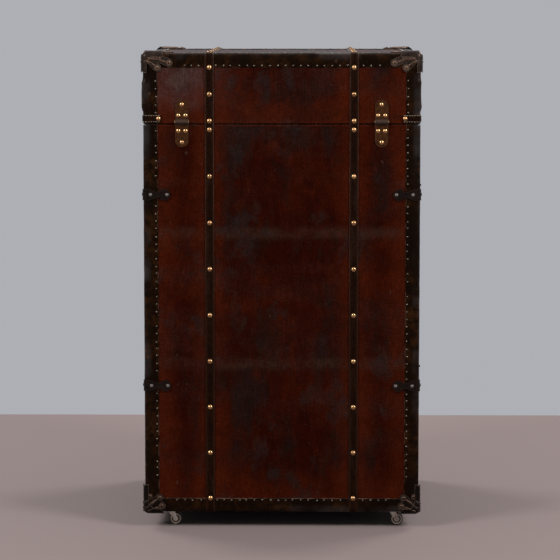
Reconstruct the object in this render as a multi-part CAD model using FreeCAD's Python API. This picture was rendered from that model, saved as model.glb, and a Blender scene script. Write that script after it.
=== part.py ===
import FreeCAD, Part
import math
import os

from FreeCAD import Placement, Rotation, Vector

# A wardrobe trunk that stands on four swivel casters. A rear case and a front case meet at a
# vertical seam and hinge on the left, and one lid covers both and hinges at the back.
# Millimetres, +Z up, origin on the floor under the middle. The back looks along -Y.
# "Levels" are heights above the leather of a wall, measured outwards.

# --- the cases and the lid ---
CASE_WIDTH = 566.0
CASE_DEPTH = 546.0
CASE_BASE_Z = 35.0
LID_LINE_Z = 842.0
LID_DEPTH = 144.0
LID_GAP = 1.2
SEAM_GAP = 0.6
EDGE_RADIUS = 6.0
LEATHER_THICKNESS = 1.5
BOARD_THICKNESS = 8.0
LINING_THICKNESS = 1.0

# --- leather binding, straps and nails ---
BINDING_THICKNESS = 2.0
BINDING_WIDTH = 28.0
SEAM_BINDING_WIDTH = 14.0
STRAP_WIDTH = 18.5
STRAP_LEVEL = 3.6
STRAP_X = 148.5
NAIL_RADIUS = 5.2
NAIL_HEIGHT = 2.6
NAIL_PITCH = 96.0
NAIL_BELOW_LID_LINE = 11.5
NAIL_ABOVE_LID_LINE = 6.5
NAIL_FROM_EDGE = 28.0
LID_NAIL_PITCH = 56.0
LID_BAND_LEVEL = 3.5
LID_BAND_HEIGHT = 15.6
LID_BAND_RISE = 3.0
LID_BAND_WRAP = 35.0
BAND_NAIL_INSET = 5.0

# --- stamped corner caps: a raised crown over the corner, with lower fingers ---
CAP_LEVEL = 6.0
CAP_FINGER_LEVEL = 4.0
CAP_FINGER_RADIUS = 8.0
CAP_CROWN_RADIUS = 24.0
CAP_WING_WIDTH = 12.0
CAP_WING_TAPER = 0.8
CAP_RIB_RADII = (2.8, 1.6)
CAP_RIVET_RADIUS = 3.2
CAP_RIVET_HEIGHT = 1.6
CAP_RING_RADIUS = 5.4
CAP_RING_HEIGHT = 0.6
CAP_SEAT = 0.4
UNDER_CAP_RADIUS = 30.0
# Each cap's pattern on one wall, from its corner: the ends of its wings, fingers' tips, and ribs.
LID_CAP_WINGS = (46.0, 45.0)
LID_CAP_FINGERS = ((58.0, 24.0), (34.0, 34.0))
LID_CAP_RIVETS = LID_CAP_FINGERS + ((37.0, 13.5),)
LID_CAP_RIBS = (((9.0, 22.0), (30.0, 12.0)), ((18.0, 15.0), (50.0, 22.0)), ((13.0, 21.0), (28.0, 29.0)))
BASE_CAP_WINGS = (45.0, 64.0)
BASE_CAP_FINGERS = ((35.0, 35.0), (39.0, 18.0))
BASE_CAP_RIVETS = BASE_CAP_FINGERS + ((14.0, 38.0),)
BASE_CAP_RIBS = (((7.0, 13.0), (28.0, 31.0)), ((12.0, 7.0), (31.0, 15.0)), ((5.0, 24.0), (11.0, 31.0)))

# --- iron straps of the case hinges and hasps ---
IRON_LEVEL = 4.0
UPPER_IRON_ABOVE_HANDLE = 97.0
LOWER_IRON_Z = 300.0
IRON_HALF_HEIGHT = 9.0
IRON_END_HALF_HEIGHT = 11.5
IRON_NECK_HALF_HEIGHT = 6.0
IRON_FLARE_HALF_HEIGHT = 20.0
IRON_FLARE_LENGTH = 34.0
IRON_TAPER_LENGTH = 16.0
IRON_WRAP = 57.0
IRON_SHOULDER = 14.0
RIVET_RADIUS = 4.5
RIVET_HEIGHT = 2.0
IRON_END_RIVET_INSETS = (13.0, 47.0)
IRON_SIDE_RIVET_INSETS = (13.0, 96.0, 180.0)

# --- hinges ---
PIN_CLEARANCE = 0.1
KNUCKLE_GAP = 0.4
CASE_KNUCKLE_RADIUS = 4.5
CASE_KNUCKLE_SHARE = 0.34
CASE_PIN_RADIUS = 2.2
HINGE_RUNNING_GAP = 0.4
NOTCH_CLEARANCE = 0.5
PIN_HEAD_HEIGHT = 1.2
PIN_HEAD_OVERHANG = 1.2
LID_HINGE_X = 205.0
LID_HINGE_WIDTH = 27.0
LID_HINGE_RISE = 5.0
LID_LEAF_THICKNESS = 1.8
LID_UPPER_LEAF_LENGTH = 45.0
LID_LOWER_LEAF_LENGTH = 52.0
LID_KNUCKLE_RADIUS = 4.5
LID_KNUCKLE_SHARE = 0.36
LID_PIN_RADIUS = 2.0
LID_HINGE_NAIL_RADIUS = 4.6
LID_HINGE_NAIL_HEIGHT = 2.1
LID_HINGE_NAIL_SPREAD = 14.6
LID_UPPER_NAIL_SHARE = 0.28
LID_LOWER_NAIL_SHARE = 0.36
LEAF_TIP_NAIL_SHARE = 0.72

# --- hasps and staples ---
HASP_LENGTH = 49.0
HASP_WIDTH = 26.0
HASP_THICKNESS = 2.5
HASP_SLOT_WIDTH = 8.0
HASP_SLOT_LENGTH = 17.0
HASP_REACH = 32.0
HASP_LEVEL = 6.2
HASP_KNUCKLE_RADIUS = 4.0
HASP_KNUCKLE_LENGTH = 15.6
HASP_PIN_RADIUS = 1.8
CASE_HASP_SETBACK = 14.0
LID_HASP_DROP = 22.0
HASP_PLATE_THICKNESS = 3.0
HASP_PLATE_WIDTH = 36.0
HASP_PLATE_HEIGHT = 18.0
STAPLE_EYE_RADIUS = 3.2
STAPLE_THICKNESS = 4.0
STAPLE_WALL = 2.2
STAPLE_EYE_MARGIN = 0.5
LID_STAPLE_HEIGHT = 30.0

# --- drop handles on the sides of the front case ---
HANDLE_Y = 135.0
HANDLE_Z = 600.0
HANDLE_LEVEL = 8.0
BAIL_RADIUS = 2.5
BAIL_HALF_SPAN = 52.0
BAIL_DROP = 42.0
BAIL_BEND_RADIUS = 9.0
BAIL_BORE_CLEARANCE = 0.1
GRIP_RADIUS = 6.8
GRIP_LENGTH = 82.0
LUG_LENGTH = 14.0
LUG_GAP = 1.0
LUG_RADIUS = 5.6
LUG_PLATE_THICKNESS = 2.0
LUG_PLATE_SIZE = (22.0, 40.0)

# --- swivel casters ---
CASTER_INSET_X = 51.0
CASTER_INSET_Y = 38.0
CASTER_TRAIL = 9.0
WHEEL_RADIUS = 13.0
WHEEL_WIDTH = 12.0
TREAD_ROUND = 2.0
WHEEL_RECESS_RADII = (5.6, 9.2)
WHEEL_RECESS_DEPTH = 1.6
AXLE_RADIUS = 2.0
AXLE_CLEARANCE = 0.1
AXLE_HEAD_RADIUS = 3.6
AXLE_HEAD_HEIGHT = 1.4
CASTER_PLATE_SIZE = 36.0
CASTER_PLATE_THICKNESS = 2.0
CASTER_PLATE_CORNER = 4.0
CASTER_SCREW_SPREAD = 13.0
CASTER_SCREW_RADIUS = 2.6
CASTER_SCREW_HEIGHT = 1.2
CROWN_RADIUS = 11.0
CROWN_THICKNESS = 2.0
CROWN_GAP = 0.4
KING_PIN_RADIUS = 3.0
KING_PIN_HEAD_RADIUS = 5.0
KING_PIN_HEAD_HEIGHT = 1.2
CHEEK_THICKNESS = 2.0
CHEEK_GAP = 0.8
CHEEK_TOP_HALF_WIDTH = 7.0
CHEEK_BOSS_RADIUS = 4.6

# --- hanging rail in the rear case ---
BRIDGE_HEIGHT = 26.0
BRIDGE_DEPTH = 18.0
BRIDGE_SETBACK = 12.0
BRIDGE_BELOW_LID_LINE = 8.0
TRACK_WIDTH = 26.0
TRACK_HEIGHT = 16.0
TRACK_WALL = 2.0
TRACK_SLOT = 11.0
TRACK_FLANGE_SIZE = (60.0, 40.0)
SLIDER_GAP = 0.5
SLIDER_WEB = 7.0
SLIDER_POST_LENGTH = 10.0
SLIDER_INSET = 6.0
ROD_RADIUS = 5.0
ROD_DROP = 30.0
TROLLEY_PULL_RADIUS = 12.0
TROLLEY_PULL_THICKNESS = 4.0

# --- coat hangers ---
HANGER_COUNT = 3
HANGER_PITCH = 60.0
HANGER_FIRST_Y = -214.0
HANGER_WIDTH = 400.0
HANGER_THICKNESS = 12.0
HANGER_DEPTH = 22.0
HANGER_RISE = 44.0
HANGER_TIP = 14.0
HOOK_WIRE_RADIUS = 1.9
HOOK_CLEARANCE = 0.3
HOOK_TURN_DEG = 50.0
HOOK_MOUTH_DEG = 200.0
HOOK_STEM = 12.0
HOOK_SEAT = 8.0

# --- drawer cabinet in the front case ---
CABINET_TOP_Z = 636.0
CABINET_BOARD = 7.0
CABINET_SETBACK = 16.0
DRAWER_COUNT = 4
DRAWER_SIDE_GAP = 0.8
DRAWER_TOP_GAP = 4.0
DRAWER_BACK_GAP = 8.0
DRAWER_BOARD = 7.0
DRAWER_FRONT_BOARD = 12.0
KNOB_RADIUS = 8.0
KNOB_LENGTH = 12.0
KNOB_NECK_RADIUS = 3.6
KNOB_NECK_SHARE = 0.4
KNOB_SHOULDER_SHARE = 0.6
KNOB_FACE_SHARE = 0.8
KNOB_SPACING = 300.0

# --- worked out from the sizes above ---
HALF_WIDTH = CASE_WIDTH / 2
HALF_DEPTH = CASE_DEPTH / 2
LID_TOP_Z = LID_LINE_Z + LID_DEPTH
RIM_Z = LID_LINE_Z - LID_GAP / 2
LID_RIM_Z = LID_LINE_Z + LID_GAP / 2
BOARD_LEVEL = -LEATHER_THICKNESS
LINING_LEVEL = BOARD_LEVEL - BOARD_THICKNESS
ROOM_LEVEL = LINING_LEVEL - LINING_THICKNESS
ROOM_HALF_WIDTH = HALF_WIDTH + ROOM_LEVEL
ROOM_HALF_DEPTH = HALF_DEPTH + ROOM_LEVEL
ROOM_FLOOR_Z = CASE_BASE_Z - ROOM_LEVEL
CASE_HINGE_X = -(HALF_WIDTH + BINDING_THICKNESS + HINGE_RUNNING_GAP + CASE_KNUCKLE_RADIUS)
LID_HINGE_Y = -(HALF_DEPTH + LID_KNUCKLE_RADIUS + HINGE_RUNNING_GAP)
LID_HINGE_Z = LID_LINE_Z + LID_HINGE_RISE
STAPLE_EYE_LEVEL = HASP_LEVEL + HASP_THICKNESS / 2 + STAPLE_EYE_MARGIN + STAPLE_EYE_RADIUS
STAPLE_TOP_LEVEL = STAPLE_EYE_LEVEL + STAPLE_EYE_RADIUS + STAPLE_WALL
LID_HASP_Z = RIM_Z - LID_HASP_DROP
HANDLE_X = HALF_WIDTH + HANDLE_LEVEL
LUG_NEAR = BAIL_HALF_SPAN + BAIL_BEND_RADIUS + LUG_GAP
IRON_Z = (HANDLE_Z + UPPER_IRON_ABOVE_HANDLE, LOWER_IRON_Z)
HASP_KNUCKLE_SHARE = HASP_KNUCKLE_LENGTH / HASP_PLATE_WIDTH
CASTER_X = HALF_WIDTH - CASTER_INSET_X
CASTER_Y = HALF_DEPTH - CASTER_INSET_Y
CASTER_TOP_Z = CASE_BASE_Z - BINDING_THICKNESS
CROWN_TOP_Z = CASTER_TOP_Z - CASTER_PLATE_THICKNESS - CROWN_GAP
CROWN_BOTTOM_Z = CROWN_TOP_Z - CROWN_THICKNESS
BRIDGE_BOTTOM_Z = RIM_Z - BRIDGE_BELOW_LID_LINE - BRIDGE_HEIGHT
TRACK_BOTTOM_Z = BRIDGE_BOTTOM_Z - TRACK_HEIGHT
ROD_Z = TRACK_BOTTOM_Z - ROD_DROP
SLIDER_BACK_Y = -ROOM_HALF_DEPTH + SLIDER_INSET
SLIDER_FRONT_Y = -BRIDGE_SETBACK - SLIDER_INSET
HOOK_RADIUS = ROD_RADIUS + HOOK_CLEARANCE + HOOK_WIRE_RADIUS
DRAWER_PITCH = (CABINET_TOP_Z - ROOM_FLOOR_Z - CABINET_BOARD) / DRAWER_COUNT
THROUGH = 20.0

X = Vector(1, 0, 0)
Y = Vector(0, 1, 0)
Z = Vector(0, 0, 1)
ORIGIN = Vector(0, 0, 0)

# Each wall's own right-handed frame: along it, up or across it, and outwards.
WALLS = {
    "back": (X, Z, -Y),
    "front": (-X, Z, Y),
    "right": (Y, Z, X),
    "left": (-Y, Z, -X),
    "top": (X, Y, Z),
    "bottom": (X, -Y, -Z),
}


# ------------------------------------------------------------------ helpers


def block(x_range, y_range, z_range):
    """A box between two values on each axis."""
    sizes = [high - low for low, high in (x_range, y_range, z_range)]
    return Part.makeBox(*sizes, Vector(x_range[0], y_range[0], z_range[0]))


def rod(start, end, radius):
    """A cylinder from one point to another."""
    return Part.makeCylinder(radius, (end - start).Length, start, end - start)


def outline(points):
    """A flat face in the XY plane with straight sides through the points."""
    corners = [Vector(x, y, 0) for x, y in points]
    return Part.Face(Part.makePolygon(corners + corners[:1]))


def disc(x, y, radius):
    """A flat round face in the XY plane."""
    return Part.Face(Part.Wire(Part.makeCircle(radius, Vector(x, y, 0))))


def lobe(start, end, radius):
    """A flat finger in the XY plane: a strip from start to end with a round tip."""
    along = (Vector(*end, 0) - Vector(*start, 0)).normalize()
    across = Vector(-along.y, along.x, 0) * radius
    first = Vector(*start, 0)
    last = Vector(*end, 0)
    sides = [
        Part.LineSegment(first - across, last - across).toShape(),
        Part.Arc(last - across, last + along * radius, last + across).toShape(),
        Part.LineSegment(last + across, first + across).toShape(),
        Part.LineSegment(first + across, first - across).toShape(),
    ]
    return Part.Face(Part.Wire(sides))


def joined(shapes):
    """The union of several shapes, with seams between flush faces removed."""
    first, *rest = shapes
    if not rest:
        return first
    return first.multiFuse(rest).removeSplitter()


def extruded(faces, depth):
    """The union of flat faces, as a plate with its back at z = 0."""
    return joined([face.extrude(Z * depth) for face in faces])


def placed(shape, point, x_axis, y_axis, z_axis):
    """A copy of a shape, moved from the origin to a point and turned to three axes."""
    copy = shape.copy()
    frame = Placement(point, Rotation(x_axis, y_axis, z_axis, "ZXY"))
    copy.Placement = frame.multiply(copy.Placement)
    return copy


def on_wall(shape, wall, across, up, level):
    """A shape that stands on a wall: across and up are world coordinates in the wall's plane."""
    along, rise, outwards = WALLS[wall]
    if wall in ("back", "front"):
        face = Vector(across, HALF_DEPTH * outwards.y, up)
    elif wall in ("left", "right"):
        face = Vector(HALF_WIDTH * outwards.x, across, up)
    else:
        face = Vector(across, up, LID_TOP_Z if wall == "top" else CASE_BASE_Z)
    return placed(shape, face + outwards * level, along, rise, outwards)


def mirrored(shape, normal):
    """The shape's mirror image through the origin's plane with this normal."""
    return shape.mirror(ORIGIN, normal)


def dome(radius, height):
    """A domed nail or rivet head that stands on z = 0."""
    ball = (radius**2 + height**2) / (2 * height)
    rim_angle = math.degrees(math.asin((ball - height) / ball))
    return Part.makeSphere(ball, Vector(0, 0, height - ball), Z, rim_angle, 90, 360)


def evenly(low, high, pitch):
    """Places from low to high, both included, as close to the pitch as fits."""
    gaps = max(1, round((high - low) / pitch))
    return [low + (high - low) * i / gaps for i in range(gaps + 1)]


def bent_wire(points, bend_radius, wire_radius):
    """A round bar along straight runs, with a tangent arc at each inner point."""
    edges = []
    start = points[0]
    for before, corner, after in zip(points, points[1:], points[2:]):
        back = (before - corner).normalize()
        ahead = (after - corner).normalize()
        half_angle = back.getAngle(ahead) / 2
        leave = corner + back * (bend_radius / math.tan(half_angle))
        enter = corner + ahead * (bend_radius / math.tan(half_angle))
        inside = (back + ahead).normalize()
        centre = corner + inside * (bend_radius / math.sin(half_angle))
        edges.append(Part.LineSegment(start, leave).toShape())
        edges.append(Part.Arc(leave, centre - inside * bend_radius, enter).toShape())
        start = enter
    edges.append(Part.LineSegment(start, points[-1]).toShape())
    return swept_round(edges, wire_radius)


def swept_round(edges, wire_radius):
    """A round bar along a chain of tangent edges."""
    path = Part.Wire(edges)
    first = edges[0]
    direction = first.tangentAt(first.FirstParameter)
    section = Part.Wire(Part.makeCircle(wire_radius, first.valueAt(first.FirstParameter), direction))
    return path.makePipeShell([section], True, False)


# ------------------------------------------------------------------ walls


def rounded_body(level, low_z, high_z, rounded_z):
    """The outer body at a level, with its upright edges and the edges at rounded_z rounded."""
    body = block(
        (-HALF_WIDTH - level, HALF_WIDTH + level),
        (-HALF_DEPTH - level, HALF_DEPTH + level),
        (low_z, high_z),
    )
    radius = EDGE_RADIUS + level
    if radius <= 0:
        return body
    upright = [e for e in body.Edges if abs(e.tangentAt(0).z) > 0.5]
    flat = [e for e in body.Edges if abs(e.CenterOfMass.z - rounded_z) < 1e-6]
    return body.makeFillet(radius, upright + flat)


def case_body(level):
    """Both cases together, as one solid block out to a level."""
    return rounded_body(level, CASE_BASE_Z - level, RIM_Z, CASE_BASE_Z - level)


def lid_body(level):
    """The lid as one solid block out to a level."""
    return rounded_body(level, LID_RIM_Z, LID_TOP_Z + level, LID_TOP_Z + level)


def rear_half(shape):
    """The part of a shape that lies behind the seam."""
    reach = HALF_WIDTH + THROUGH
    keep = block((-reach, reach), (-HALF_DEPTH - THROUGH, -SEAM_GAP / 2), (0, LID_TOP_Z + THROUGH))
    return shape.common(keep)


def rear_skin(outer_level, inner_level):
    """A wall layer of the rear case, open at the top and at the seam."""
    return rear_half(case_body(outer_level).cut(case_body(inner_level)))


def lid_skin(outer_level, inner_level):
    """A wall layer of the lid, open below."""
    return lid_body(outer_level).cut(lid_body(inner_level))


def rear_binding():
    """Leather binding along every edge of the rear case except its rim."""
    skin = rear_skin(BINDING_THICKNESS, 0)
    inner_x = HALF_WIDTH - BINDING_WIDTH
    side_y = (-HALF_DEPTH + BINDING_WIDTH, -SEAM_BINDING_WIDTH)
    wall_z = (CASE_BASE_Z + BINDING_WIDTH, LID_TOP_Z)
    back = block((-inner_x, inner_x), (-HALF_DEPTH - THROUGH, -HALF_DEPTH + EDGE_RADIUS), wall_z)
    sides = block((-HALF_WIDTH - THROUGH, HALF_WIDTH + THROUGH), side_y, wall_z)
    under = block((-inner_x, inner_x), side_y, (0, CASE_BASE_Z + EDGE_RADIUS))
    return skin.cut(back).cut(sides).cut(under)


def lid_binding():
    """Leather binding along every edge of the lid except its rim."""
    skin = lid_skin(BINDING_THICKNESS, 0)
    inner_x = HALF_WIDTH - BINDING_WIDTH
    inner_y = HALF_DEPTH - BINDING_WIDTH
    wall_z = (0, LID_TOP_Z - BINDING_WIDTH)
    ends = block((-inner_x, inner_x), (-HALF_DEPTH - THROUGH, HALF_DEPTH + THROUGH), wall_z)
    sides = block((-HALF_WIDTH - THROUGH, HALF_WIDTH + THROUGH), (-inner_y, inner_y), wall_z)
    top = block((-inner_x, inner_x), (-inner_y, inner_y), (0, LID_TOP_Z + THROUGH))
    return skin.cut(ends).cut(sides).cut(top)


def straps(skin, binding):
    """Two leather straps, cut from a wall layer and laid over the binding."""
    half = STRAP_WIDTH / 2
    bands = []
    for x in (-STRAP_X, STRAP_X):
        band = block(
            (x - half, x + half),
            (-HALF_DEPTH - THROUGH, HALF_DEPTH + THROUGH),
            (0, LID_TOP_Z + THROUGH),
        )
        bands.append(skin.common(band).cut(binding))
    return Part.makeCompound(bands)


def strap_nails(wall, ups):
    """Nails through both straps at each height or depth on a wall."""
    nail = dome(NAIL_RADIUS, NAIL_HEIGHT)
    return [on_wall(nail, wall, x, up, STRAP_LEVEL) for x in (-STRAP_X, STRAP_X) for up in ups]


def rear_nails():
    """Nails down the straps on the back."""
    ups = evenly(CASE_BASE_Z + NAIL_FROM_EDGE, LID_LINE_Z - NAIL_BELOW_LID_LINE, NAIL_PITCH)
    return Part.makeCompound(strap_nails("back", ups))


def band_nails():
    """Nails through the ends of the lid's side bands."""
    nail = dome(LID_HINGE_NAIL_RADIUS, LID_HINGE_NAIL_HEIGHT)
    across = HALF_WIDTH - LID_BAND_WRAP + BAND_NAIL_INSET
    up = LID_RIM_Z + LID_BAND_RISE + LID_BAND_HEIGHT / 2
    places = [(wall, x) for wall in ("back", "front") for x in (-across, across)]
    return [on_wall(nail, wall, x, up, LID_BAND_LEVEL) for wall, x in places]


def lid_nails():
    """Nails up the lid's ends, over its top and in its side bands."""
    ups = evenly(LID_LINE_Z + NAIL_ABOVE_LID_LINE, LID_TOP_Z - NAIL_FROM_EDGE, LID_NAIL_PITCH)
    reach = HALF_DEPTH - NAIL_FROM_EDGE
    over = evenly(-reach, reach, NAIL_PITCH)
    nails = strap_nails("back", ups) + strap_nails("front", ups) + strap_nails("top", over)
    return Part.makeCompound(nails + band_nails())


def lid_side_bands(binding):
    """Two leather bands round the lid's sides, just above its rim."""
    skin = lid_skin(LID_BAND_LEVEL, 0)
    low = LID_RIM_Z + LID_BAND_RISE
    inner = HALF_WIDTH - LID_BAND_WRAP
    bands = []
    for x_range in ((-HALF_WIDTH - THROUGH, -inner), (inner, HALF_WIDTH + THROUGH)):
        zone = block(
            x_range,
            (-HALF_DEPTH - THROUGH, HALF_DEPTH + THROUGH),
            (low, low + LID_BAND_HEIGHT),
        )
        bands.append(skin.common(zone).cut(binding))
    return Part.makeCompound(bands)


# ------------------------------------------------------------------ corner caps


def swapped(pairs):
    """Points with their two coordinates exchanged, for the wall across a cap's edge."""
    return [(v, u) for u, v in pairs]


def cap_crown(wings):
    """The raised part of a cap on one wall: a quarter disc and a wing along each edge."""
    long_wing, tall_wing = wings
    wide = CAP_WING_WIDTH
    return [
        disc(0, 0, CAP_CROWN_RADIUS),
        outline([(0, 0), (long_wing, 0), (long_wing * CAP_WING_TAPER, wide), (0, wide)]),
        outline([(0, 0), (wide, 0), (wide, tall_wing * CAP_WING_TAPER), (0, tall_wing)]),
    ]


def cap_flap(faces, corner, along, rise):
    """One wall's part of a cap: the outline, driven into the body from outside its corner."""
    plate = extruded(faces, EDGE_RADIUS + CAP_LEVEL)
    quadrant = block((0, HALF_WIDTH), (0, HALF_WIDTH), (-THROUGH, THROUGH))
    return placed(plate.common(quadrant), corner, along, rise, along.cross(rise))


def cap_rib(start, end):
    """A tapered rib between two points of a wall, sunk into the fingers by the seat."""
    drop = CAP_LEVEL - CAP_FINGER_LEVEL
    first = Vector(*start, drop)
    last = Vector(*end, drop)
    thick, thin = CAP_RIB_RADII
    bar = Part.makeCone(thick, thin, (last - first).Length, first, last - first)
    bar = joined([bar, Part.makeSphere(thick, first), Part.makeSphere(thin, last)])
    reach = (last.Length + THROUGH) * 2
    return bar.common(block((-reach, reach), (-reach, reach), (-THROUGH, drop + CAP_SEAT)))


def cap_rivet(x, y):
    """A domed rivet in a raised ring at a point of a wall."""
    drop = CAP_LEVEL - CAP_FINGER_LEVEL
    ring = rod(Z * CAP_SEAT, -Z * CAP_RING_HEIGHT, CAP_RING_RADIUS)
    head = dome(CAP_RIVET_RADIUS, CAP_RIVET_HEIGHT)
    rivet = joined([ring, placed(head, -Z * CAP_RING_HEIGHT, X, -Y, -Z)])
    rivet.translate(Vector(x, y, drop))
    return rivet


def stamped_cap(skin, corner, walls, under, binding):
    """A cap on a corner. Each wall is (wings, fingers, rivets, ribs, along, rise)."""
    crowns = []
    fingers = list(under)
    relief = []
    for wings, tips, rivets, ribs, along, rise in walls:
        crowns.append(cap_flap(cap_crown(wings), corner, along, rise))
        paws = [lobe((0, 0), tip, CAP_FINGER_RADIUS) for tip in tips]
        fingers.append(cap_flap(paws, corner, along, rise))
        marks = [cap_rib(*ends) for ends in ribs] + [cap_rivet(*place) for place in rivets]
        relief += [placed(mark, corner, along, rise, along.cross(rise)) for mark in marks]
    crown = skin(CAP_LEVEL, 0).common(joined(crowns))
    paw = skin(CAP_FINGER_LEVEL, 0).common(joined(fingers))
    return joined([joined([crown, paw]).cut(binding)] + relief)


def base_cap(binding):
    """The cap on the rear case's lower right corner."""
    corner = Vector(HALF_WIDTH + CAP_LEVEL, -HALF_DEPTH - CAP_LEVEL, CASE_BASE_Z - CAP_LEVEL)
    pattern = (BASE_CAP_FINGERS, BASE_CAP_RIVETS)
    flipped = [swapped(part) for part in pattern]
    flipped_ribs = [swapped(ends) for ends in BASE_CAP_RIBS]
    walls = [
        (BASE_CAP_WINGS, *pattern, BASE_CAP_RIBS, -X, Z),
        (BASE_CAP_WINGS[::-1], *flipped, flipped_ribs, Z, Y),
    ]
    under = [cap_flap([disc(0, 0, UNDER_CAP_RADIUS)], corner, Y, -X)]
    return stamped_cap(rear_skin, corner, walls, under, binding)


def lid_cap(binding):
    """The cap on the lid's rear right corner."""
    corner = Vector(HALF_WIDTH + CAP_LEVEL, -HALF_DEPTH - CAP_LEVEL, LID_TOP_Z + CAP_LEVEL)
    pattern = (LID_CAP_FINGERS, LID_CAP_RIVETS)
    flipped = [swapped(part) for part in pattern]
    flipped_ribs = [swapped(ends) for ends in LID_CAP_RIBS]
    walls = [
        (LID_CAP_WINGS[::-1], *flipped, flipped_ribs, -Z, -X),
        (LID_CAP_WINGS, *pattern, LID_CAP_RIBS, Y, -Z),
        (LID_CAP_WINGS, *pattern, LID_CAP_RIBS, -X, Y),
    ]
    return stamped_cap(lid_skin, corner, walls, [], binding)


# ------------------------------------------------------------------ iron straps and case hinges


def iron_end():
    """The dog-bone end of an iron strap, from a wall's edge (x = 0) inwards along +x."""
    tip_x = IRON_WRAP - IRON_END_HALF_HEIGHT
    wide = IRON_END_HALF_HEIGHT
    neck = IRON_NECK_HALF_HEIGHT
    waist = [
        (0, -wide), (IRON_SHOULDER, -wide), (IRON_SHOULDER * 2, -neck), (tip_x, -neck),
        (tip_x, neck), (IRON_SHOULDER * 2, neck), (IRON_SHOULDER, wide), (0, wide),
    ]
    return extruded([outline(waist), disc(tip_x, 0, wide)], IRON_LEVEL + EDGE_RADIUS)


def iron_side(length, flare_length):
    """The side part of an iron strap, from the seam end (x = 0) to a wall's edge along +x."""
    high = IRON_HALF_HEIGHT
    flare = IRON_FLARE_HALF_HEIGHT
    taper_end = flare_length + IRON_TAPER_LENGTH
    wide = IRON_END_HALF_HEIGHT
    upper = [
        (0, flare), (flare_length, flare), (taper_end, high),
        (length - 2 * IRON_SHOULDER, high), (length - IRON_SHOULDER, wide), (length, wide),
    ]
    lower = [(x, -y) for x, y in reversed(upper)]
    return extruded([outline(upper + lower)], IRON_LEVEL + EDGE_RADIUS)


def iron_strap(seam_setback, flare_length):
    """An iron strap on the right of the rear case, at z = 0, bent round its rear corner."""
    reach_x = HALF_WIDTH + IRON_LEVEL
    reach_y = HALF_DEPTH + IRON_LEVEL
    side = iron_side(reach_y - seam_setback, flare_length)
    side = placed(side, Vector(reach_x, -seam_setback, 0), -Y, Z, -X)
    end = placed(iron_end(), Vector(reach_x, -reach_y, 0), -X, Z, Y)
    return joined([side, end])


def iron_straps(binding, side, seam_setback, flare_length):
    """The two iron straps on one side of the rear case."""
    layer = rear_skin(IRON_LEVEL, 0)
    zone = iron_strap(seam_setback, flare_length)
    if side == "left":
        zone = mirrored(zone, X)
    straps_here = []
    for z in IRON_Z:
        lifted = zone.copy()
        lifted.translate(Z * z)
        straps_here.append(layer.common(lifted).cut(binding))
    return straps_here


def iron_rivets(side):
    """Rivets through both iron straps on one side of the rear case."""
    rivet = dome(RIVET_RADIUS, RIVET_HEIGHT)
    sign = WALLS[side][2].x
    heads = []
    for z in IRON_Z:
        for inset in IRON_END_RIVET_INSETS:
            heads.append(on_wall(rivet, "back", sign * (HALF_WIDTH - inset), z, IRON_LEVEL))
        for inset in IRON_SIDE_RIVET_INSETS:
            heads.append(on_wall(rivet, side, -HALF_DEPTH + inset, z, IRON_LEVEL))
    return heads


def knuckle_spans(width, share):
    """Where the outer and middle knuckles of a hinge lie along its pin, from its middle."""
    middle = width * share / 2
    outer = [(-width / 2, -middle - KNUCKLE_GAP), (middle + KNUCKLE_GAP, width / 2)]
    return outer, [(-middle, middle)]


def knuckle_tube(centre, along, spans, radius):
    """Solid knuckles round a hinge line."""
    return [rod(centre + along * low, centre + along * high, radius) for low, high in spans]


def hinge_leaf(plate, centre, along, own_spans, other_spans, radius, pin_radius):
    """A hinge leaf: a plate with its own knuckles, notched for the other leaf's, and bored."""
    low = own_spans[0][0] - THROUGH
    high = own_spans[-1][1] + THROUGH
    for span in other_spans:
        clear = (span[0] - KNUCKLE_GAP, span[1] + KNUCKLE_GAP)
        plate = plate.cut(knuckle_tube(centre, along, [clear], radius + NOTCH_CLEARANCE)[0])
    leaf = joined([plate] + knuckle_tube(centre, along, own_spans, radius))
    bore = rod(centre + along * low, centre + along * high, pin_radius + PIN_CLEARANCE)
    return leaf.cut(bore)


def hinge_pin(centre, along, width, radius):
    """A hinge pin with a head on each end."""
    half = width / 2
    parts = [rod(centre - along * half, centre + along * half, radius)]
    for sign in (-1, 1):
        start = centre + along * (sign * half)
        end = start + along * (sign * PIN_HEAD_HEIGHT)
        parts.append(rod(start, end, radius + PIN_HEAD_OVERHANG))
    return joined(parts)


def case_hinge_leaves(binding):
    """Rear and front leaves of both case hinges."""
    outer, middle = knuckle_spans(2 * IRON_FLARE_HALF_HEIGHT, CASE_KNUCKLE_SHARE)
    rear_plates = iron_straps(binding, "left", SEAM_GAP, IRON_FLARE_LENGTH)
    rear = []
    front = []
    for plate, z in zip(rear_plates, IRON_Z):
        centre = Vector(CASE_HINGE_X, 0, z)
        sizes = (CASE_KNUCKLE_RADIUS, CASE_PIN_RADIUS)
        rear.append(hinge_leaf(plate, centre, Z, outer, middle, *sizes))
        front.append(hinge_leaf(mirrored(plate, Y), centre, Z, middle, outer, *sizes))
    rivets = iron_rivets("left")
    front_rivets = [mirrored(rivet, Y) for rivet in rivets]
    return Part.makeCompound(rear + rivets), Part.makeCompound(front + front_rivets)


def hinge_pins():
    """The pins of the two case hinges and the two lid hinges."""
    pins = []
    for z in IRON_Z:
        centre = Vector(CASE_HINGE_X, 0, z)
        pins.append(hinge_pin(centre, Z, 2 * IRON_FLARE_HALF_HEIGHT, CASE_PIN_RADIUS))
    for x in (-LID_HINGE_X, LID_HINGE_X):
        centre = Vector(x, LID_HINGE_Y, LID_HINGE_Z)
        pins.append(hinge_pin(centre, X, LID_HINGE_WIDTH, LID_PIN_RADIUS))
    return Part.makeCompound(pins)


# ------------------------------------------------------------------ lid hinges


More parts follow.
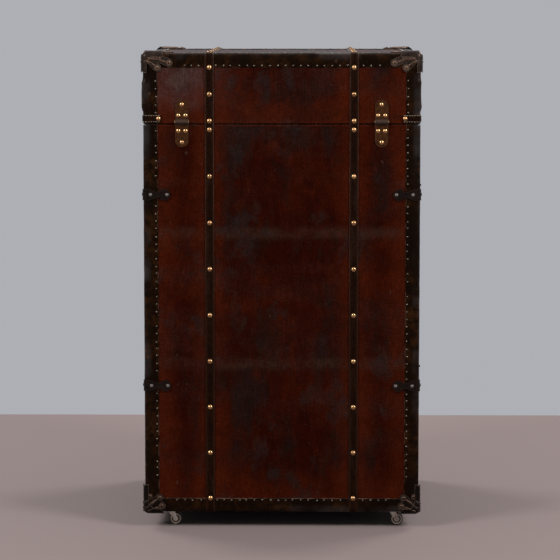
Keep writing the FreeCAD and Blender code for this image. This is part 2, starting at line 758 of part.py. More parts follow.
def lid_hinge_leaf(x, length, direction, nail_share, own_spans, other_spans):
    """One round-ended leaf on the back, up (+1) or down (-1) from the hinge line, with nails."""
    half = LID_HINGE_WIDTH / 2
    centre = Vector(x, LID_HINGE_Y, LID_HINGE_Z)
    plate = extruded([lobe((0, 0), (0, direction * (length - half)), half)], LID_LEAF_THICKNESS)
    plate = on_wall(plate, "back", x, LID_HINGE_Z, 0)
    sizes = (LID_KNUCKLE_RADIUS, LID_PIN_RADIUS)
    leaf = hinge_leaf(plate, centre, X, own_spans, other_spans, *sizes)
    nail = dome(LID_HINGE_NAIL_RADIUS, LID_HINGE_NAIL_HEIGHT)
    near = LID_HINGE_Z + direction * length * nail_share
    far = LID_HINGE_Z + direction * (length - half * LEAF_TIP_NAIL_SHARE)
    spread = LID_HINGE_NAIL_SPREAD / 2
    places = [(x - spread, near), (x + spread, near), (x, far)]
    return [leaf] + [on_wall(nail, "back", *place, LID_LEAF_THICKNESS) for place in places]


def lid_hinge_leaves():
    """Lower and upper leaves of both lid hinges."""
    outer, middle = knuckle_spans(LID_HINGE_WIDTH, LID_KNUCKLE_SHARE)
    low = (LID_LOWER_LEAF_LENGTH, -1, LID_LOWER_NAIL_SHARE, outer, middle)
    high = (LID_UPPER_LEAF_LENGTH, 1, LID_UPPER_NAIL_SHARE, middle, outer)
    lower = []
    upper = []
    for x in (-LID_HINGE_X, LID_HINGE_X):
        lower += lid_hinge_leaf(x, *low)
        upper += lid_hinge_leaf(x, *high)
    return Part.makeCompound(lower), Part.makeCompound(upper)


# ------------------------------------------------------------------ hasps and staples


def hasp():
    """A slotted hasp that hangs along -Z from a hinge line along X, facing +Y."""
    half = HASP_WIDTH / 2
    face = lobe((0, 0), (0, half - HASP_LENGTH), half)
    plate = extruded([face], HASP_THICKNESS)
    slot = block(
        (-HASP_SLOT_WIDTH / 2, HASP_SLOT_WIDTH / 2),
        (-HASP_REACH - HASP_SLOT_LENGTH / 2, -HASP_REACH + HASP_SLOT_LENGTH / 2),
        (-THROUGH, THROUGH),
    )
    plate = placed(plate.cut(slot), Vector(0, HASP_THICKNESS / 2, 0), X, Z, -Y)
    outer, middle = knuckle_spans(HASP_PLATE_WIDTH, HASP_KNUCKLE_SHARE)
    return hinge_leaf(plate, ORIGIN, X, middle, outer, HASP_KNUCKLE_RADIUS, HASP_PIN_RADIUS)


def hasp_mount(plate):
    """A plate's hasp knuckles on a hinge line along X through the origin, with the pin."""
    outer, middle = knuckle_spans(HASP_PLATE_WIDTH, HASP_KNUCKLE_SHARE)
    sizes = (HASP_KNUCKLE_RADIUS, HASP_PIN_RADIUS)
    leaf = hinge_leaf(plate, ORIGIN, X, outer, middle, *sizes)
    return [leaf, hinge_pin(ORIGIN, X, HASP_PLATE_WIDTH, HASP_PIN_RADIUS)]


def staple():
    """A padlock staple standing on the wall along +Z, its eye along X."""
    foot = STAPLE_EYE_RADIUS + STAPLE_WALL
    blade = lobe((0, 0), (0, STAPLE_EYE_LEVEL), foot)
    eye = disc(0, STAPLE_EYE_LEVEL, STAPLE_EYE_RADIUS).extrude(Z * STAPLE_THICKNESS)
    body = extruded([blade], STAPLE_THICKNESS).cut(eye)
    return placed(body, Vector(-STAPLE_THICKNESS / 2, 0, 0), Y, Z, X)


def case_hasp_axes():
    """Where a case hasp's own axes point: hinge line up, face to the right, plate backwards."""
    return Z, X, Y


def case_hasp_point(z):
    """The middle of a case hasp's hinge line."""
    return Vector(HALF_WIDTH + HASP_LEVEL, -CASE_HASP_SETBACK, z)


def case_hasp_mounts(binding):
    """The rear case's two hasp straps with their knuckles and pins."""
    parts = []
    setback = CASE_HASP_SETBACK
    for plate, z in zip(iron_straps(binding, "right", setback, IRON_FLARE_LENGTH), IRON_Z):
        local = plate.copy()
        point = case_hasp_point(z)
        frame = Placement(point, Rotation(*case_hasp_axes(), "ZXY"))
        local.Placement = frame.inverse().multiply(local.Placement)
        for piece in hasp_mount(local):
            piece.Placement = frame.multiply(piece.Placement)
            parts.append(piece)
    return Part.makeCompound(parts + iron_rivets("right"))


def case_staples(binding):
    """The front case's two staple straps."""
    parts = []
    for plate, z in zip(iron_straps(binding, "right", SEAM_GAP, 2 * IRON_FLARE_LENGTH), IRON_Z):
        foot = Vector(HALF_WIDTH, HASP_REACH - CASE_HASP_SETBACK, z)
        eye = placed(staple(), foot, Z, -Y, X)
        eye = eye.cut(block((0, HALF_WIDTH + BINDING_THICKNESS), (0, HALF_DEPTH), (0, LID_TOP_Z)))
        parts.append(joined([mirrored(plate, Y), eye]))
    rivets = [mirrored(rivet, Y) for rivet in iron_rivets("right")]
    return Part.makeCompound(parts + rivets)


def lid_hasp_mount():
    """The plate under the lid line, in the middle of the front, that carries the lid's hasp."""
    half = HASP_PLATE_WIDTH / 2
    plate = block((-half, half), (-HASP_LEVEL, HASP_PLATE_THICKNESS - HASP_LEVEL), (0, HASP_PLATE_HEIGHT))
    point = Vector(0, HALF_DEPTH + HASP_LEVEL, LID_HASP_Z)
    parts = hasp_mount(plate)
    for part in parts:
        part.translate(point)
    return Part.makeCompound(parts)


def lid_staple():
    """The lid's staple on its base plate, in the middle of the front."""
    half = HASP_PLATE_WIDTH / 2
    up = LID_HASP_Z + HASP_REACH
    plate = block(
        (-half, half),
        (HALF_DEPTH, HALF_DEPTH + HASP_PLATE_THICKNESS),
        (LID_RIM_Z + LID_GAP, LID_RIM_Z + LID_GAP + LID_STAPLE_HEIGHT),
    )
    blade = placed(staple(), Vector(0, HALF_DEPTH, up), X, -Z, Y)
    return joined([plate, blade])


# ------------------------------------------------------------------ handles


def handle_bail():
    """A handle on the right, at rest: a bent bar with its ends in the lugs, and a leather grip."""
    half = BAIL_HALF_SPAN
    end = LUG_NEAR + LUG_LENGTH - PIN_HEAD_HEIGHT
    points = [(-end, 0), (-half, 0), (-half, -BAIL_DROP), (half, -BAIL_DROP), (half, 0), (end, 0)]
    path = [Vector(HANDLE_X, HANDLE_Y + y, HANDLE_Z + z) for y, z in points]
    bail = bent_wire(path, BAIL_BEND_RADIUS, BAIL_RADIUS)
    middle = Vector(HANDLE_X, HANDLE_Y, HANDLE_Z - BAIL_DROP)
    ends = (middle - Y * (GRIP_LENGTH / 2), middle + Y * (GRIP_LENGTH / 2))
    grip = rod(*ends, GRIP_RADIUS).cut(rod(*ends, BAIL_RADIUS))
    return bail, grip


def handle_lugs():
    """The lugs on both sides that the handles' ends turn in."""
    width, height = LUG_PLATE_SIZE
    lugs = []
    for sign in (-1, 1):
        start = Vector(HANDLE_X, HANDLE_Y + sign * LUG_NEAR, HANDLE_Z)
        end = Vector(HANDLE_X, HANDLE_Y + sign * (LUG_NEAR + LUG_LENGTH), HANDLE_Z)
        middle = (start.y + end.y) / 2
        plate = block(
            (HALF_WIDTH, HALF_WIDTH + LUG_PLATE_THICKNESS),
            (middle - width / 2, middle + width / 2),
            (HANDLE_Z - height / 2, HANDLE_Z + height / 2),
        )
        web = block(
            (HALF_WIDTH, HANDLE_X),
            (min(start.y, end.y), max(start.y, end.y)),
            (HANDLE_Z - LUG_RADIUS, HANDLE_Z + LUG_RADIUS),
        )
        bore = rod(start - Y * THROUGH, start + Y * THROUGH, BAIL_RADIUS + BAIL_BORE_CLEARANCE)
        lugs.append(joined([plate, web, rod(start, end, LUG_RADIUS)]).cut(bore))
    right = Part.makeCompound(lugs)
    return Part.makeCompound([right, mirrored(right, X)])


# ------------------------------------------------------------------ casters


def caster_places(half):
    """Swivel axes of one half's two casters: -1 rear, +1 front."""
    return {"left": Vector(-CASTER_X, half * CASTER_Y, 0), "right": Vector(CASTER_X, half * CASTER_Y, 0)}


def caster_plate(place):
    """A top plate with its screws and the king pin that the fork turns on."""
    half = CASTER_PLATE_SIZE / 2
    low = CASTER_TOP_Z - CASTER_PLATE_THICKNESS
    plate = block((-half, half), (-half, half), (low, CASTER_TOP_Z))
    upright = [e for e in plate.Edges if abs(e.tangentAt(0).z) > 0.5]
    plate = plate.makeFillet(CASTER_PLATE_CORNER, upright)
    head_top = CROWN_BOTTOM_Z - CROWN_GAP
    pin = rod(Z * low, Z * head_top, KING_PIN_RADIUS)
    head = rod(Z * head_top, Z * (head_top - KING_PIN_HEAD_HEIGHT), KING_PIN_HEAD_RADIUS)
    screws = []
    for x in (-CASTER_SCREW_SPREAD, CASTER_SCREW_SPREAD):
        for y in (-CASTER_SCREW_SPREAD, CASTER_SCREW_SPREAD):
            top = Vector(x, y, low)
            screws.append(rod(top, top - Z * CASTER_SCREW_HEIGHT, CASTER_SCREW_RADIUS))
    whole = joined([plate, pin, head] + screws)
    whole.translate(place)
    return whole


def caster_cheek(y_low):
    """One cheek of a fork: straight sides from the crown down to a round boss at the axle."""
    boss = disc(CASTER_TRAIL, WHEEL_RADIUS, CHEEK_BOSS_RADIUS)
    half = CHEEK_TOP_HALF_WIDTH
    blade = outline([
        (-half, CROWN_TOP_Z - CROWN_THICKNESS / 2),
        (CASTER_TRAIL - CHEEK_BOSS_RADIUS, WHEEL_RADIUS),
        (CASTER_TRAIL + CHEEK_BOSS_RADIUS, WHEEL_RADIUS),
        (half, CROWN_TOP_Z - CROWN_THICKNESS / 2),
    ])
    cheek = extruded([blade, boss], CHEEK_THICKNESS)
    return placed(cheek, Vector(0, y_low + CHEEK_THICKNESS, 0), X, Z, -Y)


def caster_fork(place):
    """A fork: crown, two cheeks and the riveted axle."""
    inner = WHEEL_WIDTH / 2 + CHEEK_GAP
    crown = rod(Z * CROWN_TOP_Z, Z * CROWN_BOTTOM_Z, CROWN_RADIUS)
    king_bore = rod(Z * CROWN_TOP_Z, Z * CROWN_BOTTOM_Z, KING_PIN_RADIUS + AXLE_CLEARANCE)
    axle_end = inner + CHEEK_THICKNESS
    centre = Vector(CASTER_TRAIL, 0, WHEEL_RADIUS)
    axle = rod(centre - Y * axle_end, centre + Y * axle_end, AXLE_RADIUS)
    heads = []
    for sign in (-1, 1):
        start = centre + Y * (sign * axle_end)
        heads.append(rod(start, start + Y * (sign * AXLE_HEAD_HEIGHT), AXLE_HEAD_RADIUS))
    cheeks = [caster_cheek(inner), caster_cheek(-inner - CHEEK_THICKNESS)]
    fork = joined([crown.cut(king_bore)] + cheeks + [axle] + heads)
    fork.translate(place)
    return fork


def caster_wheel(place):
    """A wheel with a rounded tread and a ring recess on each face, turned about Y."""
    half = WHEEL_WIDTH / 2
    bore = AXLE_RADIUS + AXLE_CLEARANCE
    low, high = WHEEL_RECESS_RADII
    deep = half - WHEEL_RECESS_DEPTH
    edge = half - TREAD_ROUND
    side = [
        (bore, half), (low, half), (low, deep), (high, deep), (high, half),
        (WHEEL_RADIUS - TREAD_ROUND, half), (WHEEL_RADIUS, edge),
    ]
    face = outline(side + [(x, -y) for x, y in reversed(side)])
    wheel = face.revolve(ORIGIN, Y, 360)
    wheel.translate(place + Vector(CASTER_TRAIL, 0, WHEEL_RADIUS))
    return wheel


# ------------------------------------------------------------------ hanging rail and hangers


def rail_bridge():
    """The wooden bar across the rear case's mouth that carries the rail."""
    return block(
        (-ROOM_HALF_WIDTH, ROOM_HALF_WIDTH),
        (-BRIDGE_SETBACK - BRIDGE_DEPTH, -BRIDGE_SETBACK),
        (BRIDGE_BOTTOM_Z, BRIDGE_BOTTOM_Z + BRIDGE_HEIGHT),
    )


def rail_track():
    """A slotted channel from the back wall to the bridge, with a flange on the wall."""
    half = TRACK_WIDTH / 2
    y_range = (-ROOM_HALF_DEPTH, -BRIDGE_SETBACK)
    channel = block((-half, half), y_range, (TRACK_BOTTOM_Z, BRIDGE_BOTTOM_Z))
    hollow = block(
        (-half + TRACK_WALL, half - TRACK_WALL),
        (y_range[0], y_range[1]),
        (TRACK_BOTTOM_Z + TRACK_WALL, BRIDGE_BOTTOM_Z - TRACK_WALL),
    )
    slot = block((-TRACK_SLOT / 2, TRACK_SLOT / 2), y_range, (TRACK_BOTTOM_Z, BRIDGE_BOTTOM_Z - TRACK_WALL))
    width, height = TRACK_FLANGE_SIZE
    middle = (TRACK_BOTTOM_Z + BRIDGE_BOTTOM_Z) / 2
    flange = block(
        (-width / 2, width / 2),
        (-ROOM_HALF_DEPTH, -ROOM_HALF_DEPTH + TRACK_WALL),
        (middle - height / 2, middle + height / 2),
    )
    return joined([channel.cut(hollow).cut(slot), flange])


def trolley_bar():
    """The rail's slider: a head in the channel, two posts through its slot, and the rod."""
    half = TRACK_WIDTH / 2 - TRACK_WALL - SLIDER_GAP
    bottom = TRACK_BOTTOM_Z + TRACK_WALL + SLIDER_GAP
    top = BRIDGE_BOTTOM_Z - TRACK_WALL - SLIDER_GAP
    ends = (SLIDER_BACK_Y, SLIDER_FRONT_Y)
    parts = [block((-half, half), ends, (bottom, top))]
    for low in (ends[0], ends[1] - SLIDER_POST_LENGTH):
        span = (low, low + SLIDER_POST_LENGTH)
        parts.append(block((-SLIDER_WEB / 2, SLIDER_WEB / 2), span, (ROD_Z, bottom)))
    parts.append(rod(Vector(0, ends[0], ROD_Z), Vector(0, ends[1], ROD_Z), ROD_RADIUS))
    pull_back = Vector(0, ends[1], ROD_Z)
    parts.append(rod(pull_back, pull_back + Y * TROLLEY_PULL_THICKNESS, TROLLEY_PULL_RADIUS))
    return joined(parts)


def hanger_hook(y):
    """A hanger's wire hook: round the rod, then back under it into a straight stem."""
    turn = math.radians(HOOK_TURN_DEG)
    mouth = math.radians(HOOK_MOUTH_DEG)
    lower_radius = HOOK_RADIUS * math.cos(turn) / (1 - math.cos(turn))
    stem_top = -HOOK_RADIUS * math.sin(turn) - lower_radius * math.sin(turn)

    def ring(angle):
        return Vector(HOOK_RADIUS * math.cos(angle), y, ROD_Z + HOOK_RADIUS * math.sin(angle))

    def lower(angle):
        x = lower_radius - lower_radius * math.cos(angle)
        return Vector(x, y, ROD_Z + stem_top + lower_radius * math.sin(angle))

    upper = Part.Arc(ring(mouth), ring((mouth - turn) / 2), ring(-turn)).toShape()
    sweep = Part.Arc(ring(-turn), lower(turn / 2), lower(0)).toShape()
    foot = Vector(0, y, ROD_Z + stem_top - HOOK_STEM)
    stem = Part.LineSegment(lower(0), foot).toShape()
    return swept_round([upper, sweep, stem], HOOK_WIRE_RADIUS), foot


def hanger(index):
    """A bowed wooden hanger on the rod, with its hook set into the middle."""
    y = HANGER_FIRST_Y + index * HANGER_PITCH
    hook, foot = hanger_hook(y)
    half = HANGER_WIDTH / 2
    top = foot.z + HOOK_SEAT
    tip_top = top - HANGER_RISE
    tip_low = tip_top - HANGER_TIP
    back_y = y - HANGER_THICKNESS / 2

    def point(x, z):
        return Vector(x, back_y, z)

    edges = [
        Part.Arc(point(-half, tip_top), point(0, top), point(half, tip_top)).toShape(),
        Part.LineSegment(point(half, tip_top), point(half, tip_low)).toShape(),
        Part.Arc(point(half, tip_low), point(0, top - HANGER_DEPTH), point(-half, tip_low)).toShape(),
        Part.LineSegment(point(-half, tip_low), point(-half, tip_top)).toShape(),
    ]
    yoke = Part.Face(Part.Wire(edges)).extrude(Y * HANGER_THICKNESS)
    return joined([yoke, hook])


# ------------------------------------------------------------------ drawers


def drawer_spaces():
    """The height range of each drawer's space in the cabinet, from the bottom."""
    lows = [ROOM_FLOOR_Z + CABINET_BOARD + i * DRAWER_PITCH for i in range(DRAWER_COUNT)]
    return [(low, low + DRAWER_PITCH - CABINET_BOARD) for low in lows]


def drawer_cabinet():
    """The carcass in the front case: two sides, a back, and a board under and over each drawer."""
    half = ROOM_HALF_WIDTH
    inner = half - CABINET_BOARD
    back_y = ROOM_HALF_DEPTH - CABINET_BOARD
    full_depth = (CABINET_SETBACK, ROOM_HALF_DEPTH)
    full_height = (ROOM_FLOOR_Z, CABINET_TOP_Z)
    boards = [
        block((-half, -inner), full_depth, full_height),
        block((inner, half), full_depth, full_height),
        block((-inner, inner), (back_y, ROOM_HALF_DEPTH), full_height),
    ]
    for low in [ROOM_FLOOR_Z] + [top for _, top in drawer_spaces()]:
        shelf_z = (low, low + CABINET_BOARD)
        boards.append(block((-inner, inner), (CABINET_SETBACK, back_y), shelf_z))
    return Part.makeCompound(boards)


def drawer_knob(x, z):
    """A turned knob on a drawer's front."""
    profile = [
        (0, 0),
        (KNOB_NECK_RADIUS, 0),
        (KNOB_NECK_RADIUS, KNOB_LENGTH * KNOB_NECK_SHARE),
        (KNOB_RADIUS, KNOB_LENGTH * KNOB_SHOULDER_SHARE),
        (KNOB_RADIUS * KNOB_FACE_SHARE, KNOB_LENGTH),
        (0, KNOB_LENGTH),
    ]
    knob = outline(profile).revolve(ORIGIN, Y, 360)
    return placed(knob, Vector(x, CABINET_SETBACK, z), X, -Y, -Z)


def drawer(space):
    """A drawer: an open box with a thick front and two knobs."""
    low = space[0] + DRAWER_SIDE_GAP
    high = space[1] - DRAWER_TOP_GAP
    half = ROOM_HALF_WIDTH - CABINET_BOARD - DRAWER_SIDE_GAP
    back = ROOM_HALF_DEPTH - CABINET_BOARD - DRAWER_BACK_GAP
    box = block((-half, half), (CABINET_SETBACK, back), (low, high))
    inside = block(
        (-half + DRAWER_BOARD, half - DRAWER_BOARD),
        (CABINET_SETBACK + DRAWER_FRONT_BOARD, back - DRAWER_BOARD),
        (low + DRAWER_BOARD, high + THROUGH),
    )
    middle = (low + high) / 2
    knobs = [drawer_knob(x, middle) for x in (-KNOB_SPACING / 2, KNOB_SPACING / 2)]
    return joined([box.cut(inside)] + knobs)


# ------------------------------------------------------------------ the whole trunk


def case_nodes():
    """The walls, leather, fittings and casters' plates of both cases."""
    binding = rear_binding()
    cap = base_cap(binding)
    rear = {
        "shell": rear_skin(BOARD_LEVEL, LINING_LEVEL),
        "leather": rear_skin(0, BOARD_LEVEL),
        "lining": rear_skin(LINING_LEVEL, ROOM_LEVEL),
        "binding": binding,
        "corner_caps": Part.makeCompound([cap, mirrored(cap, X)]),
        "straps": straps(rear_skin(STRAP_LEVEL, 0), binding),
        "nails": rear_nails(),
        "caster_plates": Part.makeCompound([caster_plate(p) for p in caster_places(-1).values()]),
    }
    nodes = {}
    for name, shape in rear.items():
        nodes["rear_" + name] = shape
        nodes["front_" + name] = mirrored(shape, Y)
    nodes["case_hinge_rear"], nodes["case_hinge_front"] = case_hinge_leaves(binding)
    nodes["hinge_pins"] = hinge_pins()
    nodes["case_hasp_mounts"] = case_hasp_mounts(binding)
    nodes["case_staples"] = case_staples(binding)
    for name, z in zip(("upper", "lower"), IRON_Z):
        nodes["case_hasp_" + name] = placed(hasp(), case_hasp_point(z), *case_hasp_axes())
    nodes["lid_hasp_mount"] = lid_hasp_mount()
    nodes["lid_hasp"] = placed(hasp(), Vector(0, HALF_DEPTH + HASP_LEVEL, LID_HASP_Z), X, Y, Z)
    return nodes


def lid_nodes():
    """The lid's walls, leather and fittings."""
    binding = lid_binding()
    cap = lid_cap(binding)
    rear_caps = [cap, mirrored(cap, X)]
    caps = rear_caps + [mirrored(rear_cap, Y) for rear_cap in rear_caps]
    nodes = {
        "lid_shell": lid_skin(BOARD_LEVEL, LINING_LEVEL),
        "lid_leather": lid_skin(0, BOARD_LEVEL),
        "lid_lining": lid_skin(LINING_LEVEL, ROOM_LEVEL),
        "lid_binding": binding,
        "lid_corner_caps": Part.makeCompound(caps),
        "lid_straps": straps(lid_skin(STRAP_LEVEL, 0), binding),
        "lid_side_bands": lid_side_bands(binding),
        "lid_nails": lid_nails(),
        "lid_staple": lid_staple(),
    }
    nodes["lid_hinge_lower"], nodes["lid_hinge_upper"] = lid_hinge_leaves()
    return nodes


def handle_nodes():
    """The handles on both sides of the front case, and their lugs."""
    bail, grip = handle_bail()
    return {
        "handle_lugs": handle_lugs(),
        "handle_bail_right": bail,
        "handle_bail_left": mirrored(bail, X),
        "handle_grip_right": grip,
        "handle_grip_left": mirrored(grip, X),
    }


def caster_nodes():
    """The forks and wheels of the four casters."""
    nodes = {}
    for half, half_name in ((-1, "rear"), (1, "front")):
        for side, place in caster_places(half).items():
            nodes[f"caster_fork_{half_name}_{side}"] = caster_fork(place)
            nodes[f"caster_wheel_{half_name}_{side}"] = caster_wheel(place)
    return nodes


def inner_nodes():
    """The hanging rail, its hangers, the cabinet and its drawers."""
    nodes = {"rail_bridge": rail_bridge(), "rail_track": rail_track(), "trolley_bar": trolley_bar()}
    for index in range(HANGER_COUNT):
        nodes[f"hanger_{index + 1}"] = hanger(index)
    nodes["drawer_cabinet"] = drawer_cabinet()
    for index, space in enumerate(drawer_spaces()):
        nodes[f"drawer_{index + 1}"] = drawer(space)
    return nodes


def main():
    os.makedirs("parts", exist_ok=True)
    groups = (case_nodes(), lid_nodes(), handle_nodes(), caster_nodes(), inner_nodes())
    for nodes in groups:
        for name, shape in nodes.items():
            if not shape.isValid():
                raise ValueError(f"{name} is not a valid solid")
            shape.exportStep(f"parts/{name}.step")


main()
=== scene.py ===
"""A leather-covered wardrobe trunk on casters: its coverings and finishes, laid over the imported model.

The frame gives the rigid pieces. This file adds what is soft or fine: leather skins, the bound
edges and their tacks, straps, side bands with their stitches, cloth linings and handle grips.
It then gives every surface its finish, and sets up the floor, the lamps and the camera.
Lengths are in metres, in the frame's own axes: +Z up, and the trunk's back looks along -Y.
"""
import math

import bpy
import numpy as np
from bpy.props import FloatProperty, FloatVectorProperty, PointerProperty
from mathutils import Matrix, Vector


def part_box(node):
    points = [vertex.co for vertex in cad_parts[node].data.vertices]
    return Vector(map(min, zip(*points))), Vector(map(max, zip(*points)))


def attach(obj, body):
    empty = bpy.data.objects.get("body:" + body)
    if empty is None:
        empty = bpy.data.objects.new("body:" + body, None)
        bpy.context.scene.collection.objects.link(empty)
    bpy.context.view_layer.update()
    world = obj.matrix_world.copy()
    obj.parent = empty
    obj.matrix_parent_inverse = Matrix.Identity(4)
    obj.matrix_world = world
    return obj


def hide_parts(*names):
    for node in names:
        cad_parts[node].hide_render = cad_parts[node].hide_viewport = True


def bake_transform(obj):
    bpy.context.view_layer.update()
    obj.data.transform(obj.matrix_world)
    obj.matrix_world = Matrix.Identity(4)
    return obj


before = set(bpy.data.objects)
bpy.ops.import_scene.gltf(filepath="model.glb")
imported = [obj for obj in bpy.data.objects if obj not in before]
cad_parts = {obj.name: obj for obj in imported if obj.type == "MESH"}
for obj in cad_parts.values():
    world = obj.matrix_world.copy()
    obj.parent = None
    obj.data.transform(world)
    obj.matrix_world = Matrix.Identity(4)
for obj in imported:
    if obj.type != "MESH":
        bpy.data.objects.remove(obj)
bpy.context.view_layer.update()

bl_info = {
    "name": "Wardrobe Trunk",
    "version": (1, 0, 0),
    "blender": (4, 5, 0),
    "location": "View3D > Sidebar > Trunk",
    "description": "Coverings, fittings and finishes of a leather wardrobe trunk",
    "category": "Object",
}

MM = 0.001


def node_box(name):
    """A node's lowest and highest corners, as two arrays."""
    low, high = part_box(name)
    return np.array(low), np.array(high)


CASE_LOW, CASE_HIGH = node_box("rear_leather")
LID_LOW, LID_HIGH = node_box("lid_leather")
LINING_LOW, LINING_HIGH = node_box("rear_lining")
LID_LINING_LOW, LID_LINING_HIGH = node_box("lid_lining")
HALF_WIDTH = CASE_HIGH[0]
HALF_DEPTH = -CASE_LOW[1]
SEAM_Y = -CASE_HIGH[1]
BASE_Z = CASE_LOW[2]
RIM_Z = CASE_HIGH[2]
LID_RIM_Z = LID_LOW[2]
LID_TOP_Z = LID_HIGH[2]
EDGE_ROUND = 6 * MM
STRAP_CENTRE = node_box("rear_straps")[1][0] - 9.25 * MM

# The sharp boxes that the coverings are laid on: the cases' is open above, the lid's below.
OPEN_ABOVE, OPEN_BELOW = 2.0, -1.0
CASE_LIMITS = np.array([[-HALF_WIDTH, -HALF_DEPTH, BASE_Z], [HALF_WIDTH, HALF_DEPTH, OPEN_ABOVE]])
LID_LIMITS = np.array([[-HALF_WIDTH, -HALF_DEPTH, OPEN_BELOW], [HALF_WIDTH, HALF_DEPTH, LID_TOP_Z]])

# How far the unseen inside of each covering lies below the face of the leather under it.
SKIN_DEPTH = 1.45 * MM
BINDING_DEPTH = 0.6 * MM
STRAP_DEPTH = 0.7 * MM


# ---------------------------------------------------------------- settings


def tint(name, description, default):
    """A colour setting."""
    look = {"subtype": "COLOR", "size": 3, "min": 0, "max": 1}
    return FloatVectorProperty(name=name, description=description, default=default, **look)


def length(name, description, default, least=0.0):
    """A length setting, in metres."""
    return FloatProperty(name=name, description=description, unit="LENGTH", default=default, min=least)


class TrunkLeather(bpy.types.PropertyGroup):
    mid: tint("Leather", "Main oxblood colour", (0.0172, 0.0016, 0.0002))
    bright: tint("Rubbed", "Colour where hands have rubbed it", (0.0445, 0.0058, 0.0011))
    dark: tint("Darkened", "Colour of the dark patches", (0.0120, 0.0052, 0.0040))
    smudge: tint("Smudges", "Greyed smudges", (0.0190, 0.0125, 0.0112))
    # This colour also paints the greyish sheen on the lid's left back panel.
    bloom_and_sheen: tint("Bloom", "Pale bloom in faint spots", (0.080, 0.048, 0.043))
    wave: length("Unevenness", "How far the skin rises and falls", 0.35 * MM)
    pitch: length("Mesh pitch", "Distance between the skin's grid lines", 9 * MM, 3 * MM)


class TrunkBinding(bpy.types.PropertyGroup):
    colour: tint("Binding", "Near-black binding leather", (0.0024, 0.0013, 0.0008))
    worn: tint("Binding worn", "Brown that shows where it is worn", (0.024, 0.0082, 0.0020))
    width: length("Width", "Width on each side of an edge", 28 * MM, 10 * MM)
    seam_width: length("Seam width", "Width along the seam between the cases", 13.7 * MM, 5 * MM)
    thickness: length("Thickness", "Thickness of the binding", 2 * MM, 0.5 * MM)
    slack: length("Slack", "How far the lid's worn binding bulges", 5.2 * MM)
    tack_pitch: length("Tack pitch", "Distance between tacks", 15.6 * MM, 6 * MM)
    tack_radius: length("Tack radius", "Radius of a tack's head", 1.85 * MM, 0.5 * MM)


class TrunkStrap(bpy.types.PropertyGroup):
    colour: tint("Strap", "Dark strap leather", (0.0060, 0.0015, 0.0004))
    # The strap edge colour is partly a painted highlight along the straps' edges.
    edge: tint("Strap edge", "Burnished edges of a strap", (0.070, 0.036, 0.026))
    width: length("Width", "Width of a strap", 18.5 * MM, 8 * MM)
    level: length("Level", "Height of a strap's face over the leather", 3.6 * MM, 1 * MM)
    band_level: length("Band level", "Height of a side band's face over the leather", 3.5 * MM, 1 * MM)
    stitch_pitch: length("Stitch pitch", "Distance between stitches", 5.2 * MM, 2 * MM)
    thread: tint("Thread", "Waxed linen thread", (0.36, 0.29, 0.20))


class TrunkMetal(bpy.types.PropertyGroup):
    brass: tint("Brass", "Polished nail heads", (0.50, 0.28, 0.13))
    aged_brass: tint("Aged brass", "Brown hinge leaves", (0.062, 0.021, 0.0055))
    bronze: tint("Cap bronze", "Dark stamped corner caps", (0.046, 0.030, 0.023))
    iron: tint("Black iron", "Iron straps and hasps", (0.0060, 0.0042, 0.0036))
    rust: tint("Rust brown", "Warm brown on worn iron and caps", (0.028, 0.012, 0.007))
    zinc: tint("Zinc", "Zinc-plated steel", (0.66, 0.62, 0.56))


class TrunkInside(bpy.types.PropertyGroup):
    cloth: tint("Lining", "Lining cloth", (0.50, 0.43, 0.31))
    plywood: tint("Plywood", "Board under the leather", (0.42, 0.28, 0.16))
    drawer: tint("Drawer wood", "Stained cabinet and drawers", (0.22, 0.095, 0.040))
    hanger: tint("Hanger wood", "Varnished hangers and rail bar", (0.46, 0.25, 0.11))
    tread: tint("Wheel", "Cream caster treads", (0.66, 0.53, 0.41))


class TrunkStage(bpy.types.PropertyGroup):
    floor: tint("Floor", "Plain pale floor", (0.225, 0.175, 0.166))
    air: tint("Background", "Pale background", (0.42, 0.43, 0.46))
    lens: FloatProperty(
        name="Lens", description="Focal length on a 36 mm sensor", unit="CAMERA", default=160, min=10
    )
    eye: FloatVectorProperty(
        name="Camera", description="Where the camera stands", subtype="TRANSLATION", unit="LENGTH", size=3,
        default=(0.058, -5.383, 1.0785),
    )
    tilt: FloatProperty(
        name="Tilt", description="How far the camera looks down", subtype="ANGLE", default=math.radians(6.23)
    )
    turn: FloatProperty(
        name="Turn", description="How far the camera looks left", subtype="ANGLE", default=math.radians(0.69)
    )
    reach: length("Floor reach", "Reach of the floor along +Y, half of its reach elsewhere", 1.18, 0.5)


SETTINGS = {
    "trunk_leather": TrunkLeather,
    "trunk_binding": TrunkBinding,
    "trunk_strap": TrunkStrap,
    "trunk_metal": TrunkMetal,
    "trunk_inside": TrunkInside,
    "trunk_stage": TrunkStage,
}


# ---------------------------------------------------------------- surfaces


def relief(points, height, length, seed):
    """Smooth unevenness from 0 to height: sine waves in seeded directions, in three octaves,
    each half as long and 0.6 times as high as the one before, the longest of the given length."""
    rng = np.random.default_rng(seed)
    total = np.zeros(points.shape[:-1])
    reach = 0
    for octave in range(3):
        waves = rng.normal(size=(7, 3))
        waves *= (2 * np.pi * 2**octave / length) / np.linalg.norm(waves, axis=1, keepdims=True)
        phases = rng.uniform(0, 2 * np.pi, 7)
        total += 0.6**octave * np.sin(points @ waves.T + phases).mean(-1)
        reach += 0.6**octave
    return height * np.clip(0.5 + 0.9 * total / reach, 0, 1)


def points_at(*numbers):
    """Points from their coordinates, each one number or an array, spread to one shape."""
    return np.stack(np.broadcast_arrays(*numbers), -1)


def bell(gap, width):
    """A bell curve: 1 where the gap is nothing, and 1/e where it is the width."""
    return np.exp(-((gap / width) ** 2))


def run_along(path):
    """How far along a path each of its points lies."""
    return np.concatenate([[0], np.cumsum(np.linalg.norm(np.diff(path, axis=0), axis=1))])


